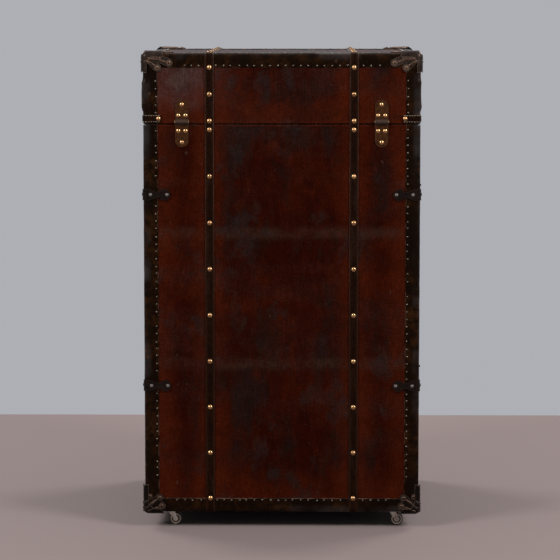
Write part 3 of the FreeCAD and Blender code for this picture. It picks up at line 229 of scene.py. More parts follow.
def three_sides(width, depth):
    """Three sides of a rectangle as one line: in along the first, across, and out along the last."""
    return np.concatenate([
        points_at(width[0], depth[::-1]),
        points_at(width[1:-1], depth[0]),
        points_at(width[-1], depth),
    ])


def four_sides(width, depth):
    """The four sides of a rectangle as one ring."""
    return np.concatenate([
        points_at(width[:-1], depth[0]),
        points_at(width[-1], depth[:-1]),
        points_at(width[:0:-1], depth[-1]),
        points_at(width[0], depth[:0:-1]),
    ])


def on_box(flat, limits, lift=0.0, radius=EDGE_ROUND):
    """Points of a sharp box moved to a rounded one: each goes to its nearest point of the core,
    the box shrunk by the radius, and then out again by the radius plus the lift."""
    low, high = limits
    core = np.clip(flat, low + radius, high - radius)
    away = flat - core
    away /= np.maximum(np.linalg.norm(away, axis=-1, keepdims=True), 1e-9)
    return core + away * (radius + np.asarray(lift)[..., None]), away


def span(low, high, pitch, round_low=False, round_high=False):
    """Grid lines from low to high, close together over a rounded end."""
    fine = EDGE_ROUND * np.array([0, 0.27, 0.58, 1.0])
    start = low + fine if round_low else np.array([low])
    end = high - fine[::-1] if round_high else np.array([high])
    count = max(2, int(round((end[0] - start[-1]) / pitch)) + 1)
    return np.concatenate([start[:-1], np.linspace(start[-1], end[0], count), end[1:]])


def slab(outer, inner, uv=None, loop=False):
    """A closed shell between two grids of points: quads over both, and along their open sides."""
    rows, cols = outer.shape[:2]
    count = rows * cols
    index = np.arange(count).reshape(rows, cols)
    if loop:
        index = np.hstack([index, index[:, :1]])
    skin = np.stack([index[:-1, :-1], index[:-1, 1:], index[1:, 1:], index[1:, :-1]], -1).reshape(-1, 4)

    def wall(line):
        return np.stack([line[1:], line[:-1], line[:-1] + count, line[1:] + count], -1)

    faces = [skin, skin[:, ::-1] + count, wall(index[0]), wall(index[-1][::-1])]
    if not loop:
        faces += [wall(index[::-1, 0]), wall(index[:, -1])]
    points = np.concatenate([outer.reshape(-1, 3), inner.reshape(-1, 3)])
    faces = np.concatenate(faces)
    if signed_volume(points, faces) < 0:
        faces = faces[:, ::-1]
    flat = np.zeros((count, 2)) if uv is None else uv.reshape(-1, 2)
    return points, faces, np.concatenate([flat, flat])


def signed_volume(points, faces):
    """Six times the volume inside quads, positive where they face outwards."""
    a, b, c, d = (points[faces[:, i]] for i in range(4))
    return (a * np.cross(b, c)).sum() + (a * np.cross(c, d)).sum()


def repeated(template, places, axes):
    """One small shape set down many times: axes holds each copy's three axes as rows."""
    points, faces = template
    moved = np.einsum("kj,nji->nki", points, axes) + places[:, None, :]
    shifted = faces[None] + (np.arange(len(places)) * len(points))[:, None, None]
    flat = moved.reshape(-1, 3)
    return flat, shifted.reshape(-1, 4), np.zeros((len(flat), 2))


def make_piece(name, shells, body, replaces=(), finish=None, crease=40):
    """One object from closed shells of quads, riding on a body, with its finish."""
    points, faces, uv = zip(*shells)
    starts = np.cumsum([0] + [len(p) for p in points[:-1]])
    faces = np.concatenate([f + s for f, s in zip(faces, starts)]).astype(np.int32)
    points = np.concatenate(points).astype(np.float32)
    uv = np.concatenate(uv).astype(np.float32)
    mesh = bpy.data.meshes.new(name)
    mesh.vertices.add(len(points))
    mesh.vertices.foreach_set("co", points.ravel())
    mesh.loops.add(faces.size)
    mesh.loops.foreach_set("vertex_index", faces.ravel())
    mesh.polygons.add(len(faces))
    mesh.polygons.foreach_set("loop_start", np.arange(len(faces), dtype=np.int32) * 4)
    mesh.uv_layers.new(name="UVMap").data.foreach_set("uv", uv[faces.ravel()].ravel())
    mesh.update(calc_edges=True)
    mesh.shade_smooth()
    mesh.set_sharp_from_angle(angle=math.radians(crease))
    piece = bpy.data.objects.new(name, mesh)
    bpy.context.scene.collection.objects.link(piece)
    if finish is not None:
        mesh.materials.append(finish)
    if body is not None:
        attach(piece, body)
    if replaces:
        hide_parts(*replaces)
    return piece


def cover_all(suffix, replaced, finish, rear, front, lid):
    """The same kind of covering on the rear case, the front case and the lid."""
    shells = {"rear": rear, "front": front, "lid": lid}
    bodies = {"rear": "rear_case", "front": "front_case", "lid": "lid"}
    for name, body in bodies.items():
        make_piece(f"{name}_{suffix}", shells[name], body, [f"{name}_{replaced}"], finish)


FLIP_Y = np.array([1, -1, 1])


def mirrored_y(shells):
    """The same shells mirrored from the rear to the front, with their faces turned back outwards."""
    return [(points * FLIP_Y, faces[:, ::-1], uv) for points, faces, uv in shells]


# ---------------------------------------------------------------- shader helpers


def fill(tree, node, inputs):
    """A node, with its inputs set to values or joined to sockets."""
    for key, value in inputs.items():
        if isinstance(value, bpy.types.NodeSocket):
            tree.links.new(value, node.inputs[key])
        else:
            node.inputs[key].default_value = value
    return node


def add(tree, kind, inputs=None, **settings):
    """A shader node with its settings and its inputs."""
    node = tree.nodes.new("ShaderNode" + kind)
    for key, value in settings.items():
        setattr(node, key, value)
    return fill(tree, node, inputs or {})


def maths(tree, operation, *values, clamp=False):
    """A Math node's result."""
    return add(tree, "Math", dict(enumerate(values)), operation=operation, use_clamp=clamp).outputs[0]


def times(tree, a, b):
    """The product of two values."""
    return maths(tree, "MULTIPLY", a, b)


def scaled(tree, value, factor, more):
    """A value times a factor, plus some more."""
    return maths(tree, "MULTIPLY_ADD", value, factor, more)


def most(tree, a, b):
    """The larger of two values."""
    return maths(tree, "MAXIMUM", a, b)


def distance(tree, a, b):
    """How far apart two values are."""
    return maths(tree, "ABSOLUTE", maths(tree, "SUBTRACT", a, b))


def coordinates(tree, kind):
    """A point's Object, UV or Normal coordinates."""
    return add(tree, "TexCoord").outputs[kind]


def parts(tree, vector):
    """A vector's three numbers."""
    return add(tree, "SeparateXYZ", {0: vector}).outputs


def blend(tree, factor, a, b, kind="MIX"):
    """A colour between a and b. A plain colour is three numbers."""
    a, b = (tuple(c) + (1,) if not isinstance(c, bpy.types.NodeSocket) else c for c in (a, b))
    inputs = {0: factor, 6: a, 7: b}
    return add(tree, "Mix", inputs, data_type="RGBA", blend_type=kind).outputs[2]


def layered(tree, colour, *layers):
    """A colour under further ones, each of which covers it as far as its mask says."""
    for mask, over in layers:
        colour = blend(tree, mask, colour, over)
    return colour


def shaded(colour, share):
    """A plain colour times a share, at most 1."""
    return tuple(min(1, c * share) for c in colour)


def spread(tree, value, low, high, to_low=0.0, to_high=1.0):
    """A value between low and high carried to another range, smoothly and held at its ends."""
    inputs = {0: value, 1: low, 2: high, 3: to_low, 4: to_high}
    return add(tree, "MapRange", inputs, interpolation_type="SMOOTHSTEP").outputs[0]


def noise(tree, vector, scale, detail=3.0, roughness=0.55):
    """A noise texture's value."""
    inputs = {"Vector": vector, "Scale": scale, "Detail": detail, "Roughness": roughness}
    return add(tree, "TexNoise", inputs).outputs["Fac"]


def stretched(tree, vector, scale, location=(0, 0, 0)):
    """A vector moved and scaled along its axes."""
    return add(tree, "Mapping", {"Vector": vector, "Scale": scale, "Location": location}).outputs[0]


def new_group(name, inputs, outputs):
    """A shader node group with float or vector inputs and value outputs: its tree, what it is
    given, and its output node."""
    tree = bpy.data.node_groups.new(name, "ShaderNodeTree")
    for label, kind, default in inputs:
        socket = tree.interface.new_socket(name=label, in_out="INPUT", socket_type="NodeSocket" + kind)
        if default is not None:
            socket.default_value = default
    for label, kind in outputs:
        tree.interface.new_socket(name=label, in_out="OUTPUT", socket_type="NodeSocket" + kind)
    return tree, tree.nodes.new("NodeGroupInput").outputs, tree.nodes.new("NodeGroupOutput")


def patina_group():
    """Handled leather: broad worn patches, smaller and fine mottling, upright streaks, level
    bands, the hatching of a printed grain, and nicks."""
    tree, given, out = new_group(
        "Patina",
        [("Vector", "Vector", None), ("Patch", "Float", 7.0), ("Mottle", "Float", 38.0)],
        [(name, "Float") for name in ("Broad", "Small", "Fine", "Streak", "Band", "Hatch", "Scuff")],
    )
    vector = given["Vector"]
    warp = add(tree, "TexNoise", {"Vector": vector, "Scale": 4.0, "Detail": 3.0}).outputs["Color"]
    bent = {0: warp, 1: (0.10, 0.10, 0.10), 2: vector}
    moved = add(tree, "VectorMath", bent, operation="MULTIPLY_ADD").outputs[0]
    upright = noise(tree, stretched(tree, vector, (1.0, 1.0, 0.12)), 330.0, 3.0, 0.6)
    across = noise(tree, stretched(tree, vector, (0.3, 0.3, 1.0)), 330.0, 3.0, 0.6)

    def marks(place, scale, detail, rough, low, high):
        return spread(tree, noise(tree, place, scale, detail, rough), low, high)

    fill(tree, out, {
        "Broad": marks(moved, given["Patch"], 5.0, 0.62, 0.38, 0.64),
        "Small": marks(moved, given["Mottle"], 6.0, 0.68, 0.38, 0.66),
        "Fine": marks(vector, times(tree, given["Mottle"], 14.0), 4.0, 0.7, 0.34, 0.68),
        "Streak": marks(stretched(tree, moved, (1.0, 1.0, 0.10)), 75.0, 5.0, 0.65, 0.46, 0.72),
        "Band": marks(stretched(tree, vector, (0.22, 0.22, 1.0)), 13.0, 4.0, 0.6, 0.44, 0.68),
        "Hatch": spread(tree, most(tree, upright, across), 0.46, 0.68),
        "Scuff": marks(stretched(tree, vector, (1.0, 1.0, 0.6)), 95.0, 2.0, 0.5, 0.70, 0.76),
    })
    return tree


def settled_group():
    """Dust that has settled: 1 on what faces up, and 0 on what stands upright."""
    tree, given, out = new_group("Settled dust", [("Vector", "Vector", None)], [("Dust", "Float")])
    facing = parts(tree, coordinates(tree, "Normal"))
    film = spread(tree, noise(tree, given["Vector"], 18.0, 5.0, 0.65), 0.30, 0.70, 0.35, 1.0)
    fill(tree, out, {"Dust": times(tree, spread(tree, facing[2], 0.55, 0.95), film)})
    return tree


def grain_group():
    """Leather grain: pebbles between fine creases, as a height from 0 to 1."""
    tree, given, out = new_group(
        "Leather grain",
        [("Vector", "Vector", None), ("Pebble", "Float", 700.0)],
        [("Height", "Float")],
    )
    vector, pebble = given["Vector"], given["Pebble"]
    cells = add(tree, "TexVoronoi", {"Vector": vector, "Scale": pebble}, feature="DISTANCE_TO_EDGE")
    raised = spread(tree, cells.outputs["Distance"], 0.0, 0.35)
    fine = noise(tree, vector, times(tree, pebble, 0.35), 3.0)
    fill(tree, out, {"Height": scaled(tree, raised, 0.7, times(tree, fine, 0.3))})
    return tree


def wood_group():
    """Wood grain along one axis of its vector: long figure with its fibres, and pores."""
    tree, given, out = new_group(
        "Wood grain",
        [("Vector", "Vector", None), ("Figure", "Float", 9.0)],
        [("Grain", "Float"), ("Pores", "Float")],
    )
    long = stretched(tree, given["Vector"], (0.06, 1.0, 1.0))
    bend = noise(tree, long, given["Figure"], 3.0)
    wavy = {"Vector": long, "Scale": given["Figure"], "Distortion": 11.0, "Detail": 4.0, "Detail Scale": 0.8}
    rings = add(tree, "TexWave", wavy, wave_type="BANDS", bands_direction="Z")
    fibres = noise(tree, stretched(tree, given["Vector"], (0.03, 1.0, 1.0)), 160.0, 5.0, 0.6)
    fibres = spread(tree, fibres, 0.36, 0.66)
    figure = scaled(tree, rings.outputs["Fac"], 0.25, times(tree, fibres, 0.40))
    fill(tree, out, {"Grain": scaled(tree, bend, 0.35, figure)})
    pores = noise(tree, stretched(tree, given["Vector"], (12.0, 900.0, 900.0)), 1.0, 2.0)
    fill(tree, out, {"Pores": spread(tree, pores, 0.55, 0.75)})
    return tree


def weave_group():
    """Plain weave over the surface's own map: threads over and under, as a height."""
    tree, given, out = new_group(
        "Weave",
        [("Vector", "Vector", None), ("Threads", "Float", 1100.0)],
        [("Height", "Float"), ("Slub", "Float")],
    )
    place = parts(tree, given["Vector"])
    turn = times(tree, given["Threads"], math.pi)
    over = times(tree, *[maths(tree, "SINE", times(tree, place[i], turn)) for i in (0, 1)])
    fill(tree, out, {"Height": scaled(tree, over, 0.5, 0.5)})
    slub = noise(tree, stretched(tree, given["Vector"], (1.0, 9.0, 1.0)), 60.0, 4.0)
    fill(tree, out, {"Slub": spread(tree, slub, 0.35, 0.7)})
    return tree


def wear_group():
    """Worn edges: how far a rounded normal turns from the real one."""
    tree, given, out = new_group(
        "Edge wear",
        [("Radius", "Float", 0.001), ("Sharpness", "Float", 8.0)],
        [("Wear", "Float")],
    )
    bevel = add(tree, "Bevel", {"Radius": given["Radius"]}, samples=6).outputs[0]
    normal = add(tree, "NewGeometry").outputs["Normal"]
    same = add(tree, "VectorMath", {0: bevel, 1: normal}, operation="DOT_PRODUCT").outputs["Value"]
    turned = maths(tree, "SUBTRACT", 1.0, same)
    fill(tree, out, {"Wear": maths(tree, "MULTIPLY", turned, given["Sharpness"], clamp=True)})
    return tree


GROUPS = {
    "patina": patina_group,
    "grain": grain_group,
    "wood": wood_group,
    "weave": weave_group,
    "wear": wear_group,
    "dust": settled_group,
}
made_groups = {}


def group(tree, name, inputs):
    """A shared group placed in a material, built the first time."""
    if name not in made_groups:
        made_groups[name] = GROUPS[name]()
    node = tree.nodes.new("ShaderNodeGroup")
    node.node_tree = made_groups[name]
    return fill(tree, node, inputs).outputs


def material(name):
    """A new material: its tree, its shader, and its Object coordinates."""
    made = bpy.data.materials.new(name)
    made.use_nodes = True
    tree = made.node_tree
    return made, tree, tree.nodes["Principled BSDF"], coordinates(tree, "Object")


def bump(tree, height, distance, strength=1.0, under=None):
    """A Bump node's normal, over another one's if given."""
    inputs = {"Height": height, "Distance": distance, "Strength": strength}
    if under is not None:
        inputs["Normal"] = under
    return add(tree, "Bump", inputs).outputs[0]


# ---------------------------------------------------------------- finishes


# Colours of dirt and wear, and the near-black of the painted shade in the gap at the rim; the width of
# leather that the binding covers, the heights of two pressed marks, those between which the blackening
# of the foot ends, and the part of a normal past which a face looks a given way.
DUST = (0.20, 0.175, 0.16)
DRY_DIRT = (0.34, 0.26, 0.19)
PAINTED_GAP_SHADE = (0.002, 0.001, 0.001)
PRESSED_BROWN = (0.054, 0.025, 0.016)
CUT_EDGE = (0.115, 0.066, 0.048)
COVERED_EDGE = 28 * MM
PRESSED_LEVELS = (618 * MM, 346 * MM)
FOOT_LOW, FOOT_HIGH = 120 * MM, 300 * MM
FACES_THIS_WAY = 0.7


def panel_mask(tree, where):
    """How deep a point lies inside its panel, from 0 beside a strap or binding to 1."""
    x, y = (maths(tree, "ABSOLUTE", place) for place in list(parts(tree, where))[:2])
    facing = parts(tree, coordinates(tree, "Normal"))
    from_edge = maths(tree, "SUBTRACT", HALF_WIDTH - COVERED_EDGE, x)
    across_back = maths(tree, "MINIMUM", distance(tree, x, STRAP_CENTRE), from_edge)
    across_side = maths(tree, "MINIMUM", y, maths(tree, "SUBTRACT", HALF_DEPTH - COVERED_EDGE, y))
    on_side = maths(tree, "GREATER_THAN", maths(tree, "ABSOLUTE", facing[0]), FACES_THIS_WAY)
    depth = add(tree, "Mix", {0: on_side, 2: across_back, 3: across_side}).outputs[0]
    return spread(tree, depth, 5 * MM, 54 * MM)


def near_rim(tree, where, reach, low=0.0):
    """1 at the line between the cases and the lid, falling to 0 at a reach from it."""
    gap = distance(tree, parts(tree, where)[2], (RIM_Z + LID_RIM_Z) / 2)
    return spread(tree, gap, low, reach, 1.0, 0.0)


def painted_sheen_panel(tree, where):
    """1 on the back of the lid's left panel, where a greyish sheen is painted into the colour, and 0
    elsewhere.
    """
    place = parts(tree, where)
    left = spread(tree, place[0], -STRAP_CENTRE - 30 * MM, -STRAP_CENTRE, 1.0, 0.25)
    left = times(tree, left, spread(tree, place[0], -STRAP_CENTRE, -40 * MM, 1.0, 0.0))
    raised = spread(tree, place[2], RIM_Z + 10 * MM, RIM_Z + 70 * MM)
    facing = parts(tree, coordinates(tree, "Normal"))
    behind = maths(tree, "LESS_THAN", facing[1], -FACES_THIS_WAY)
    return times(tree, times(tree, left, raised), behind)


def level_edges(tree, where):
    """1 beside the level edges that hands and feet rub, low on the cases and low on the lid."""
    height = parts(tree, where)[2]
    foot = spread(tree, height, BASE_Z + 28 * MM, BASE_Z + 130 * MM, 1.0, 0.0)
    sill = spread(tree, height, LID_RIM_Z + 20 * MM, LID_RIM_Z + 85 * MM, 1.0, 0.0)
    return most(tree, foot, times(tree, sill, maths(tree, "GREATER_THAN", height, RIM_Z)))


def belts(tree, where):
    """1 along two faint level marks where the hide has been pressed, and 0 elsewhere."""
    height = parts(tree, where)[2]
    gaps = [distance(tree, height, level) for level in PRESSED_LEVELS]
    return most(tree, *[spread(tree, gap, 2 * MM, 20 * MM, 1.0, 0.0) for gap in gaps])


def patches(tree, where, scale, low, high, tall=1.0, shift=0.0):
    """Patches with ragged edges, 1 inside and 0 outside, taller than wide by a share."""
    place = stretched(tree, where, (1.0, 1.0, 1.0 / tall), (shift, shift, shift))
    return spread(tree, noise(tree, place, scale, 6.0, 0.66), low, high)


def off_middle(tree):
    """How far a point lies from the middle of its strip: 0 to 1, by the strip's own map."""
    return maths(tree, "ABSOLUTE", parts(tree, coordinates(tree, "UV"))[0])


def oxblood_finish(settings):
    """Aged oxblood hide: dark in the middle of its panels and smoked in patches, rubbed red
    beside the straps and edges, mottled, streaked and hatched, with smudges, a pale bloom in
    bands, nicks, specks and fine grain, and painted light: a greyish sheen on the lid's left back
    panel, a highlight beside the rim and shade in the gap at the rim."""
    made, tree, shader, where = material("oxblood_leather")
    worn = group(tree, "patina", {"Vector": where, "Patch": 5.0, "Mottle": 24.0})
    small, hatch = worn["Small"], worn["Hatch"]
    depth = scaled(tree, panel_mask(tree, where), 0.70, times(tree, worn["Broad"], 0.45))
    rubbed = times(tree, level_edges(tree, where), 0.7)
    depth = maths(tree, "SUBTRACT", depth, rubbed, clamp=True)
    smoke = patches(tree, where, 12.0, 0.45, 0.64, tall=2.2, shift=3.0)
    smoke = times(tree, smoke, spread(tree, depth, 0.2, 0.9, 0.25, 0.90))
    bright = times(tree, patches(tree, where, 17.0, 0.57, 0.70, tall=1.3, shift=7.0), 0.45)
    # Painted highlight: a brighter line beside the rim, where the turned edge of the leather catches the
    # light.
    sill = times(tree, near_rim(tree, where, 7 * MM, 3 * MM), 0.5)
    pressed = times(tree, belts(tree, where), spread(tree, small, 0.1, 0.9, 0.08, 0.36))
    smudge = patches(tree, where, 16.0, 0.55, 0.66, tall=1.2, shift=11.0)
    smudge = times(tree, smudge, scaled(tree, small, 0.40, 0.25))
    colour = layered(
        tree, blend(tree, depth, settings.bright, settings.mid), (smoke, settings.dark),
        (bright, settings.bright), (times(tree, worn["Streak"], 0.26), settings.bright),
        (sill, settings.bright), (pressed, PRESSED_BROWN), (smudge, settings.smudge),
    )
    speckle = times(tree, scaled(tree, hatch, 0.30, 0.86), spread(tree, worn["Fine"], 0.0, 1.0, 0.78, 1.18))
    speckle = times(tree, speckle, spread(tree, small, 0.0, 1.0, 1.10, 0.86))
    dim = add(tree, "CombineXYZ", {0: speckle, 1: speckle, 2: speckle}).outputs[0]
    colour = blend(tree, 1.0, colour, dim, "MULTIPLY")
    bloom_and_painted_sheen = times(tree, worn["Band"], scaled(tree, hatch, 0.05, 0.02))
    # Painted sheen: the lid's left back panel is paled towards the bloom colour, as if it reflected the
    # light.
    faded = times(tree, painted_sheen_panel(tree, where), spread(tree, small, 0.0, 1.0, 0.22, 0.52))
    bloom_and_painted_sheen = most(tree, bloom_and_painted_sheen, times(tree, faded, scaled(tree, hatch, 0.5, 0.75)))
    bloom_and_painted_sheen = most(tree, bloom_and_painted_sheen, times(tree, worn["Scuff"], 0.26))
    specks = spread(tree, noise(tree, where, 230.0, 2.0, 0.5), 0.745, 0.80)
    bloom_and_painted_sheen = most(tree, bloom_and_painted_sheen, times(tree, specks, 0.7))
    dust = group(tree, "dust", {"Vector": where})["Dust"]
    # Painted shade: near-black in the gap where the lid meets the cases.
    gap = times(tree, near_rim(tree, where, 2.0 * MM, 0.8 * MM), 0.9)
    colour = layered(
        tree, colour, (bloom_and_painted_sheen, settings.bloom_and_sheen), (times(tree, dust, 0.07), DUST), (gap, PAINTED_GAP_SHADE)
    )
    grain = group(tree, "grain", {"Vector": where, "Pebble": 620.0})["Height"]
    soft = bump(tree, noise(tree, where, 60.0, 5.0, 0.65), 0.0016, 0.45)
    fill(tree, shader, {
        "Base Color": colour,
        "Roughness": spread(tree, worn["Fine"], 0.0, 1.0, 0.28, 0.46),
        "Specular IOR Level": 0.024,
        "Coat Weight": times(tree, dust, 0.20),
        "Coat Roughness": 0.52,
        "Normal": bump(tree, grain, 0.00012, 0.7, soft),
    })
    return made


def black_leather_finish(name, colour, worn_colour, pebble=900.0):
    """Near-black hide: browner in patches, rubbed pale along its cut edges and its fold, creased,
    and glossy in patches over the fold. Its map runs from -1 to 1 across, with the fold at 0."""
    made, tree, shader, where = material(name)
    across = off_middle(tree)
    worn = group(tree, "patina", {"Vector": where, "Patch": 12.0, "Mottle": 60.0})
    small, fine = worn["Small"], worn["Fine"]
    edge = times(tree, spread(tree, across, 0.955, 0.985), spread(tree, small, 0.1, 0.8))
    fold = times(tree, spread(tree, across, 0.0, 0.22, 1.0, 0.0), times(tree, small, fine))
    rubbed = most(tree, times(tree, edge, 0.75), times(tree, fold, 0.25))
    rubbed = most(tree, rubbed, times(tree, worn["Scuff"], 0.25))
    dust = times(tree, group(tree, "dust", {"Vector": where})["Dust"], 0.15)
    tone = layered(
        tree, colour, (times(tree, worn["Broad"], small), worn_colour),
        (times(tree, fine, 0.30), worn_colour), (rubbed, CUT_EDGE), (dust, DUST),
    )
    gloss = spread(tree, noise(tree, where, 9.0, 3.0, 0.5), 0.53, 0.67, 0.05, 0.85)
    gloss = times(tree, spread(tree, across, 0.20, 0.60, 1.0, 0.0), gloss)
    grain = group(tree, "grain", {"Vector": where, "Pebble": pebble})["Height"]
    creases = bump(tree, noise(tree, where, 110.0, 5.0, 0.65), 0.0010, 0.6)
    fill(tree, shader, {
        "Base Color": tone,
        "Roughness": spread(tree, fine, 0.0, 1.0, 0.26, 0.44),
        "Specular IOR Level": 0.022,
        "Coat Weight": most(tree, gloss, times(tree, dust, 0.4)),
        "Coat Roughness": 0.15,
        "Normal": bump(tree, grain, 0.0001, 0.7, creases),
    })
    return made


def strap_finish(settings):
    """Strap hide: nearly black along its middle and tan along its burnished edges, where the tan is partly
    a painted highlight that grows brighter towards the top. Its map runs from -1 to 1 across."""
    made, tree, shader, where = material("strap_leather")
    across = off_middle(tree)
    worn = group(tree, "patina", {"Vector": where, "Patch": 16.0, "Mottle": 80.0})
    brown = times(tree, worn["Small"], 0.35)
    brown = maths(tree, "ADD", brown, spread(tree, across, 0.35, 0.75, 0.0, 0.5), clamp=True)
    # Partly painted highlight: the burnished edges are painted brighter towards the top.
    edge = times(tree, spread(tree, across, 0.82, 0.92), spread(tree, worn["Small"], 0.0, 1.0, 1.0, 0.4))
    edge = times(tree, edge, spread(tree, parts(tree, where)[2], 0.30, 0.85, 0.40, 1.0))
    dust = times(tree, group(tree, "dust", {"Vector": where})["Dust"], 0.18)
    tone = layered(
        tree, settings.colour, (brown, (0.019, 0.0056, 0.0018)), (edge, settings.edge),
        (times(tree, worn["Streak"], 0.10), settings.edge), (dust, DRY_DIRT),
    )
    grain = group(tree, "grain", {"Vector": where, "Pebble": 1000.0})["Height"]
    creases = bump(tree, noise(tree, where, 140.0, 4.0), 0.0007, 0.4)
    fill(tree, shader, {
        "Base Color": tone,
        "Roughness": spread(tree, across, 0.7, 0.95, 0.42, 0.30),
        "Specular IOR Level": 0.04,
        "Normal": bump(tree, grain, 0.0001, 0.6, creases),
    })
    return made


def metal_finish(
    name, colour, tarnish, worn_colour, *, metallic, rough, tarnish_share=0.6, wear_radius=1.2 * MM,
    wear_share=0.8, marks=(),
):
    """Old metal: tarnish in patches, brighter along the worn edges, and small dents. Each mark
    is a mask and the colour that it carries."""
    made, tree, shader, where = material(name)
    patina = group(tree, "patina", {"Vector": where, "Patch": 40.0, "Mottle": 180.0})
    small = patina["Small"]
    wear = group(tree, "wear", {"Radius": wear_radius, "Sharpness": 9.0})["Wear"]
    wear = times(tree, wear, spread(tree, small, 0.0, 1.0, wear_share, wear_share * 0.4))
    tone = layered(
        tree, colour, (times(tree, patina["Broad"], tarnish_share), tarnish),
        (times(tree, small, 0.25), tarnish), *[(mask(tree, where), carried) for mask, carried in marks],
        (wear, worn_colour),
    )
    fill(tree, shader, {
        "Base Color": tone,
        "Metallic": metallic,
        "Specular IOR Level": 0.10,
        "Roughness": scaled(tree, small, 0.18, rough),
        "Normal": bump(tree, noise(tree, where, 260.0, 3.0), 0.0004, 0.35),
    })
    return made


def low_down(tree, where):
    """1 at the foot of the trunk, where caps are blackened, and 0 above."""
    return spread(tree, parts(tree, where)[2], FOOT_LOW, FOOT_HIGH, 0.9, 0.0)


def raised_work(tree, where):
    """1 on the ribs and ringed rivets of the corner caps, fainter at the foot, and 0 on their
    flat faces and rounded edges, by how far a point stands off the trunk's leather."""
    x, y, z = parts(tree, where)
    side = maths(tree, "SUBTRACT", maths(tree, "ABSOLUTE", x), HALF_WIDTH)
    back = maths(tree, "SUBTRACT", maths(tree, "ABSOLUTE", y), HALF_DEPTH)
    end = most(tree, maths(tree, "SUBTRACT", z, LID_TOP_Z), maths(tree, "SUBTRACT", BASE_Z, z))
    larger = most(tree, side, back)
    level = most(tree, larger, end)
    second = most(tree, maths(tree, "MINIMUM", side, back), maths(tree, "MINIMUM", larger, end))
    off_crown = spread(tree, distance(tree, level, 6 * MM), 0.1 * MM, 0.4 * MM)
    raised = times(tree, spread(tree, level, 4.3 * MM, 4.8 * MM), off_crown)
    raised = times(tree, raised, maths(tree, "LESS_THAN", second, -EDGE_ROUND))
    return times(tree, raised, spread(tree, z, FOOT_LOW, FOOT_HIGH, 0.42, 0.9))


def painted_rivet_glints(tree, where):
    """1 on the rivets that stand proud of the irons on the back and the front, whose heads are painted light
    grey as a glint, and 0 elsewhere.
    """
    x, y = (maths(tree, "ABSOLUTE", place) for place in list(parts(tree, where))[:2])
    proud = spread(tree, y, HALF_DEPTH + 4.9 * MM, HALF_DEPTH + 5.3 * MM)
    return times(tree, proud, maths(tree, "GREATER_THAN", x, 200 * MM))


def hinge_finish(settings):
    """Hinge leaves aged to leather brown, with bright nails standing proud of them."""
    made, tree, shader, where = material("aged_hinge_brass")
    place = parts(tree, where)
    leaf_y = -HALF_DEPTH - 2.0 * MM
    pin_z = (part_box("lid_hinge_lower")[1].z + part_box("lid_hinge_upper")[0].z) / 2
    proud = spread(tree, place[1], leaf_y - 0.15 * MM, leaf_y - 0.05 * MM, 1.0, 0.0)
    off_pin = maths(tree, "GREATER_THAN", distance(tree, place[2], pin_z), 6 * MM)
    nail = times(tree, proud, off_pin)
    patina = group(tree, "patina", {"Vector": where, "Patch": 50.0, "Mottle": 160.0})
    barrel = maths(tree, "SUBTRACT", 1.0, off_pin)
    barrel = times(tree, barrel, spread(tree, patina["Fine"], 0.0, 1.0, 0.9, 0.5))
    wear = group(tree, "wear", {"Radius": 0.8 * MM, "Sharpness": 6.0})["Wear"]
    tone = layered(
        tree, settings.aged_brass, (patina["Small"], (0.026, 0.0095, 0.0035)),
        (barrel, (0.060, 0.040, 0.031)), (times(tree, wear, 0.4), (0.26, 0.14, 0.08)),
        (nail, settings.brass),
    )
    fill(tree, shader, {
        "Base Color": tone,
        "Metallic": spread(tree, nail, 0.0, 1.0, 0.35, 1.0),
        "Specular IOR Level": 0.10,
        "Roughness": spread(tree, nail, 0.0, 1.0, 0.42, 0.20),
        "Normal": bump(tree, noise(tree, where, 300.0, 3.0), 0.0003, 0.35),
    })
    return made


def wheel_finish(name, centre, settings):
    """A caster wheel: cream tread with dirt, painted shade in its recessed ring, a dark band round the
    tyre's edge, and a greyed hub.
    """
    made, tree, shader, where = material(name)
    local = stretched(tree, where, (1.0, 0.0, 1.0), (-centre[0], 0.0, -centre[2]))
    radius = add(tree, "VectorMath", {0: local}, operation="LENGTH").outputs["Value"]
    dirt = group(tree, "patina", {"Vector": where, "Patch": 90.0, "Mottle": 300.0})
    tread = blend(tree, times(tree, dirt["Small"], 0.45), settings.tread, DRY_DIRT)
    # Painted shade: the recessed ring is near-black. The tyre's outer edge gets the same dark colour.
    ring = spread(tree, radius, 8.3 * MM, 8.8 * MM, 1.0, 0.0)
    ring = times(tree, spread(tree, radius, 5.3 * MM, 5.8 * MM), ring)
    tyre = spread(tree, radius, 10.6 * MM, 11.1 * MM)
    tone = blend(tree, spread(tree, radius, 5.0 * MM, 5.6 * MM), (0.21, 0.165, 0.13), tread)
    fill(tree, shader, {
        "Base Color": blend(tree, most(tree, ring, tyre), tone, (0.020, 0.012, 0.009)),
        "Roughness": scaled(tree, dirt["Small"], 0.2, 0.32),
        "Normal": bump(tree, noise(tree, where, 400.0, 2.0), 0.0002, 0.3),
    })
    return made


def wood_finish(name, colour, rough=0.42, brass=None, brass_y=0.0):
    """Wood with long figure and pores along X. Where a brass colour is given, what stands out
    past a level towards -Y is brass knobs."""
    made, tree, shader, where = material(name)
    wood = group(tree, "wood", {"Vector": where, "Figure": 14.0})
    tone = layered(
        tree, colour, (times(tree, wood["Grain"], 0.75), shaded(colour, 0.45)),
        (times(tree, wood["Pores"], 0.4), shaded(colour, 0.25)),
    )
    gloss = scaled(tree, wood["Pores"], 0.2, rough)
    if brass is not None:
        knob = maths(tree, "LESS_THAN", parts(tree, where)[1], brass_y)
        tone = blend(tree, knob, tone, brass)
        gloss = add(tree, "Mix", {0: knob, 2: gloss, 3: 0.25}).outputs[0]
        fill(tree, shader, {"Metallic": knob})
    normal = bump(tree, wood["Pores"], 0.0002, 0.4)
    fill(tree, shader, {"Base Color": tone, "Roughness": gloss, "Normal": normal})
    return made


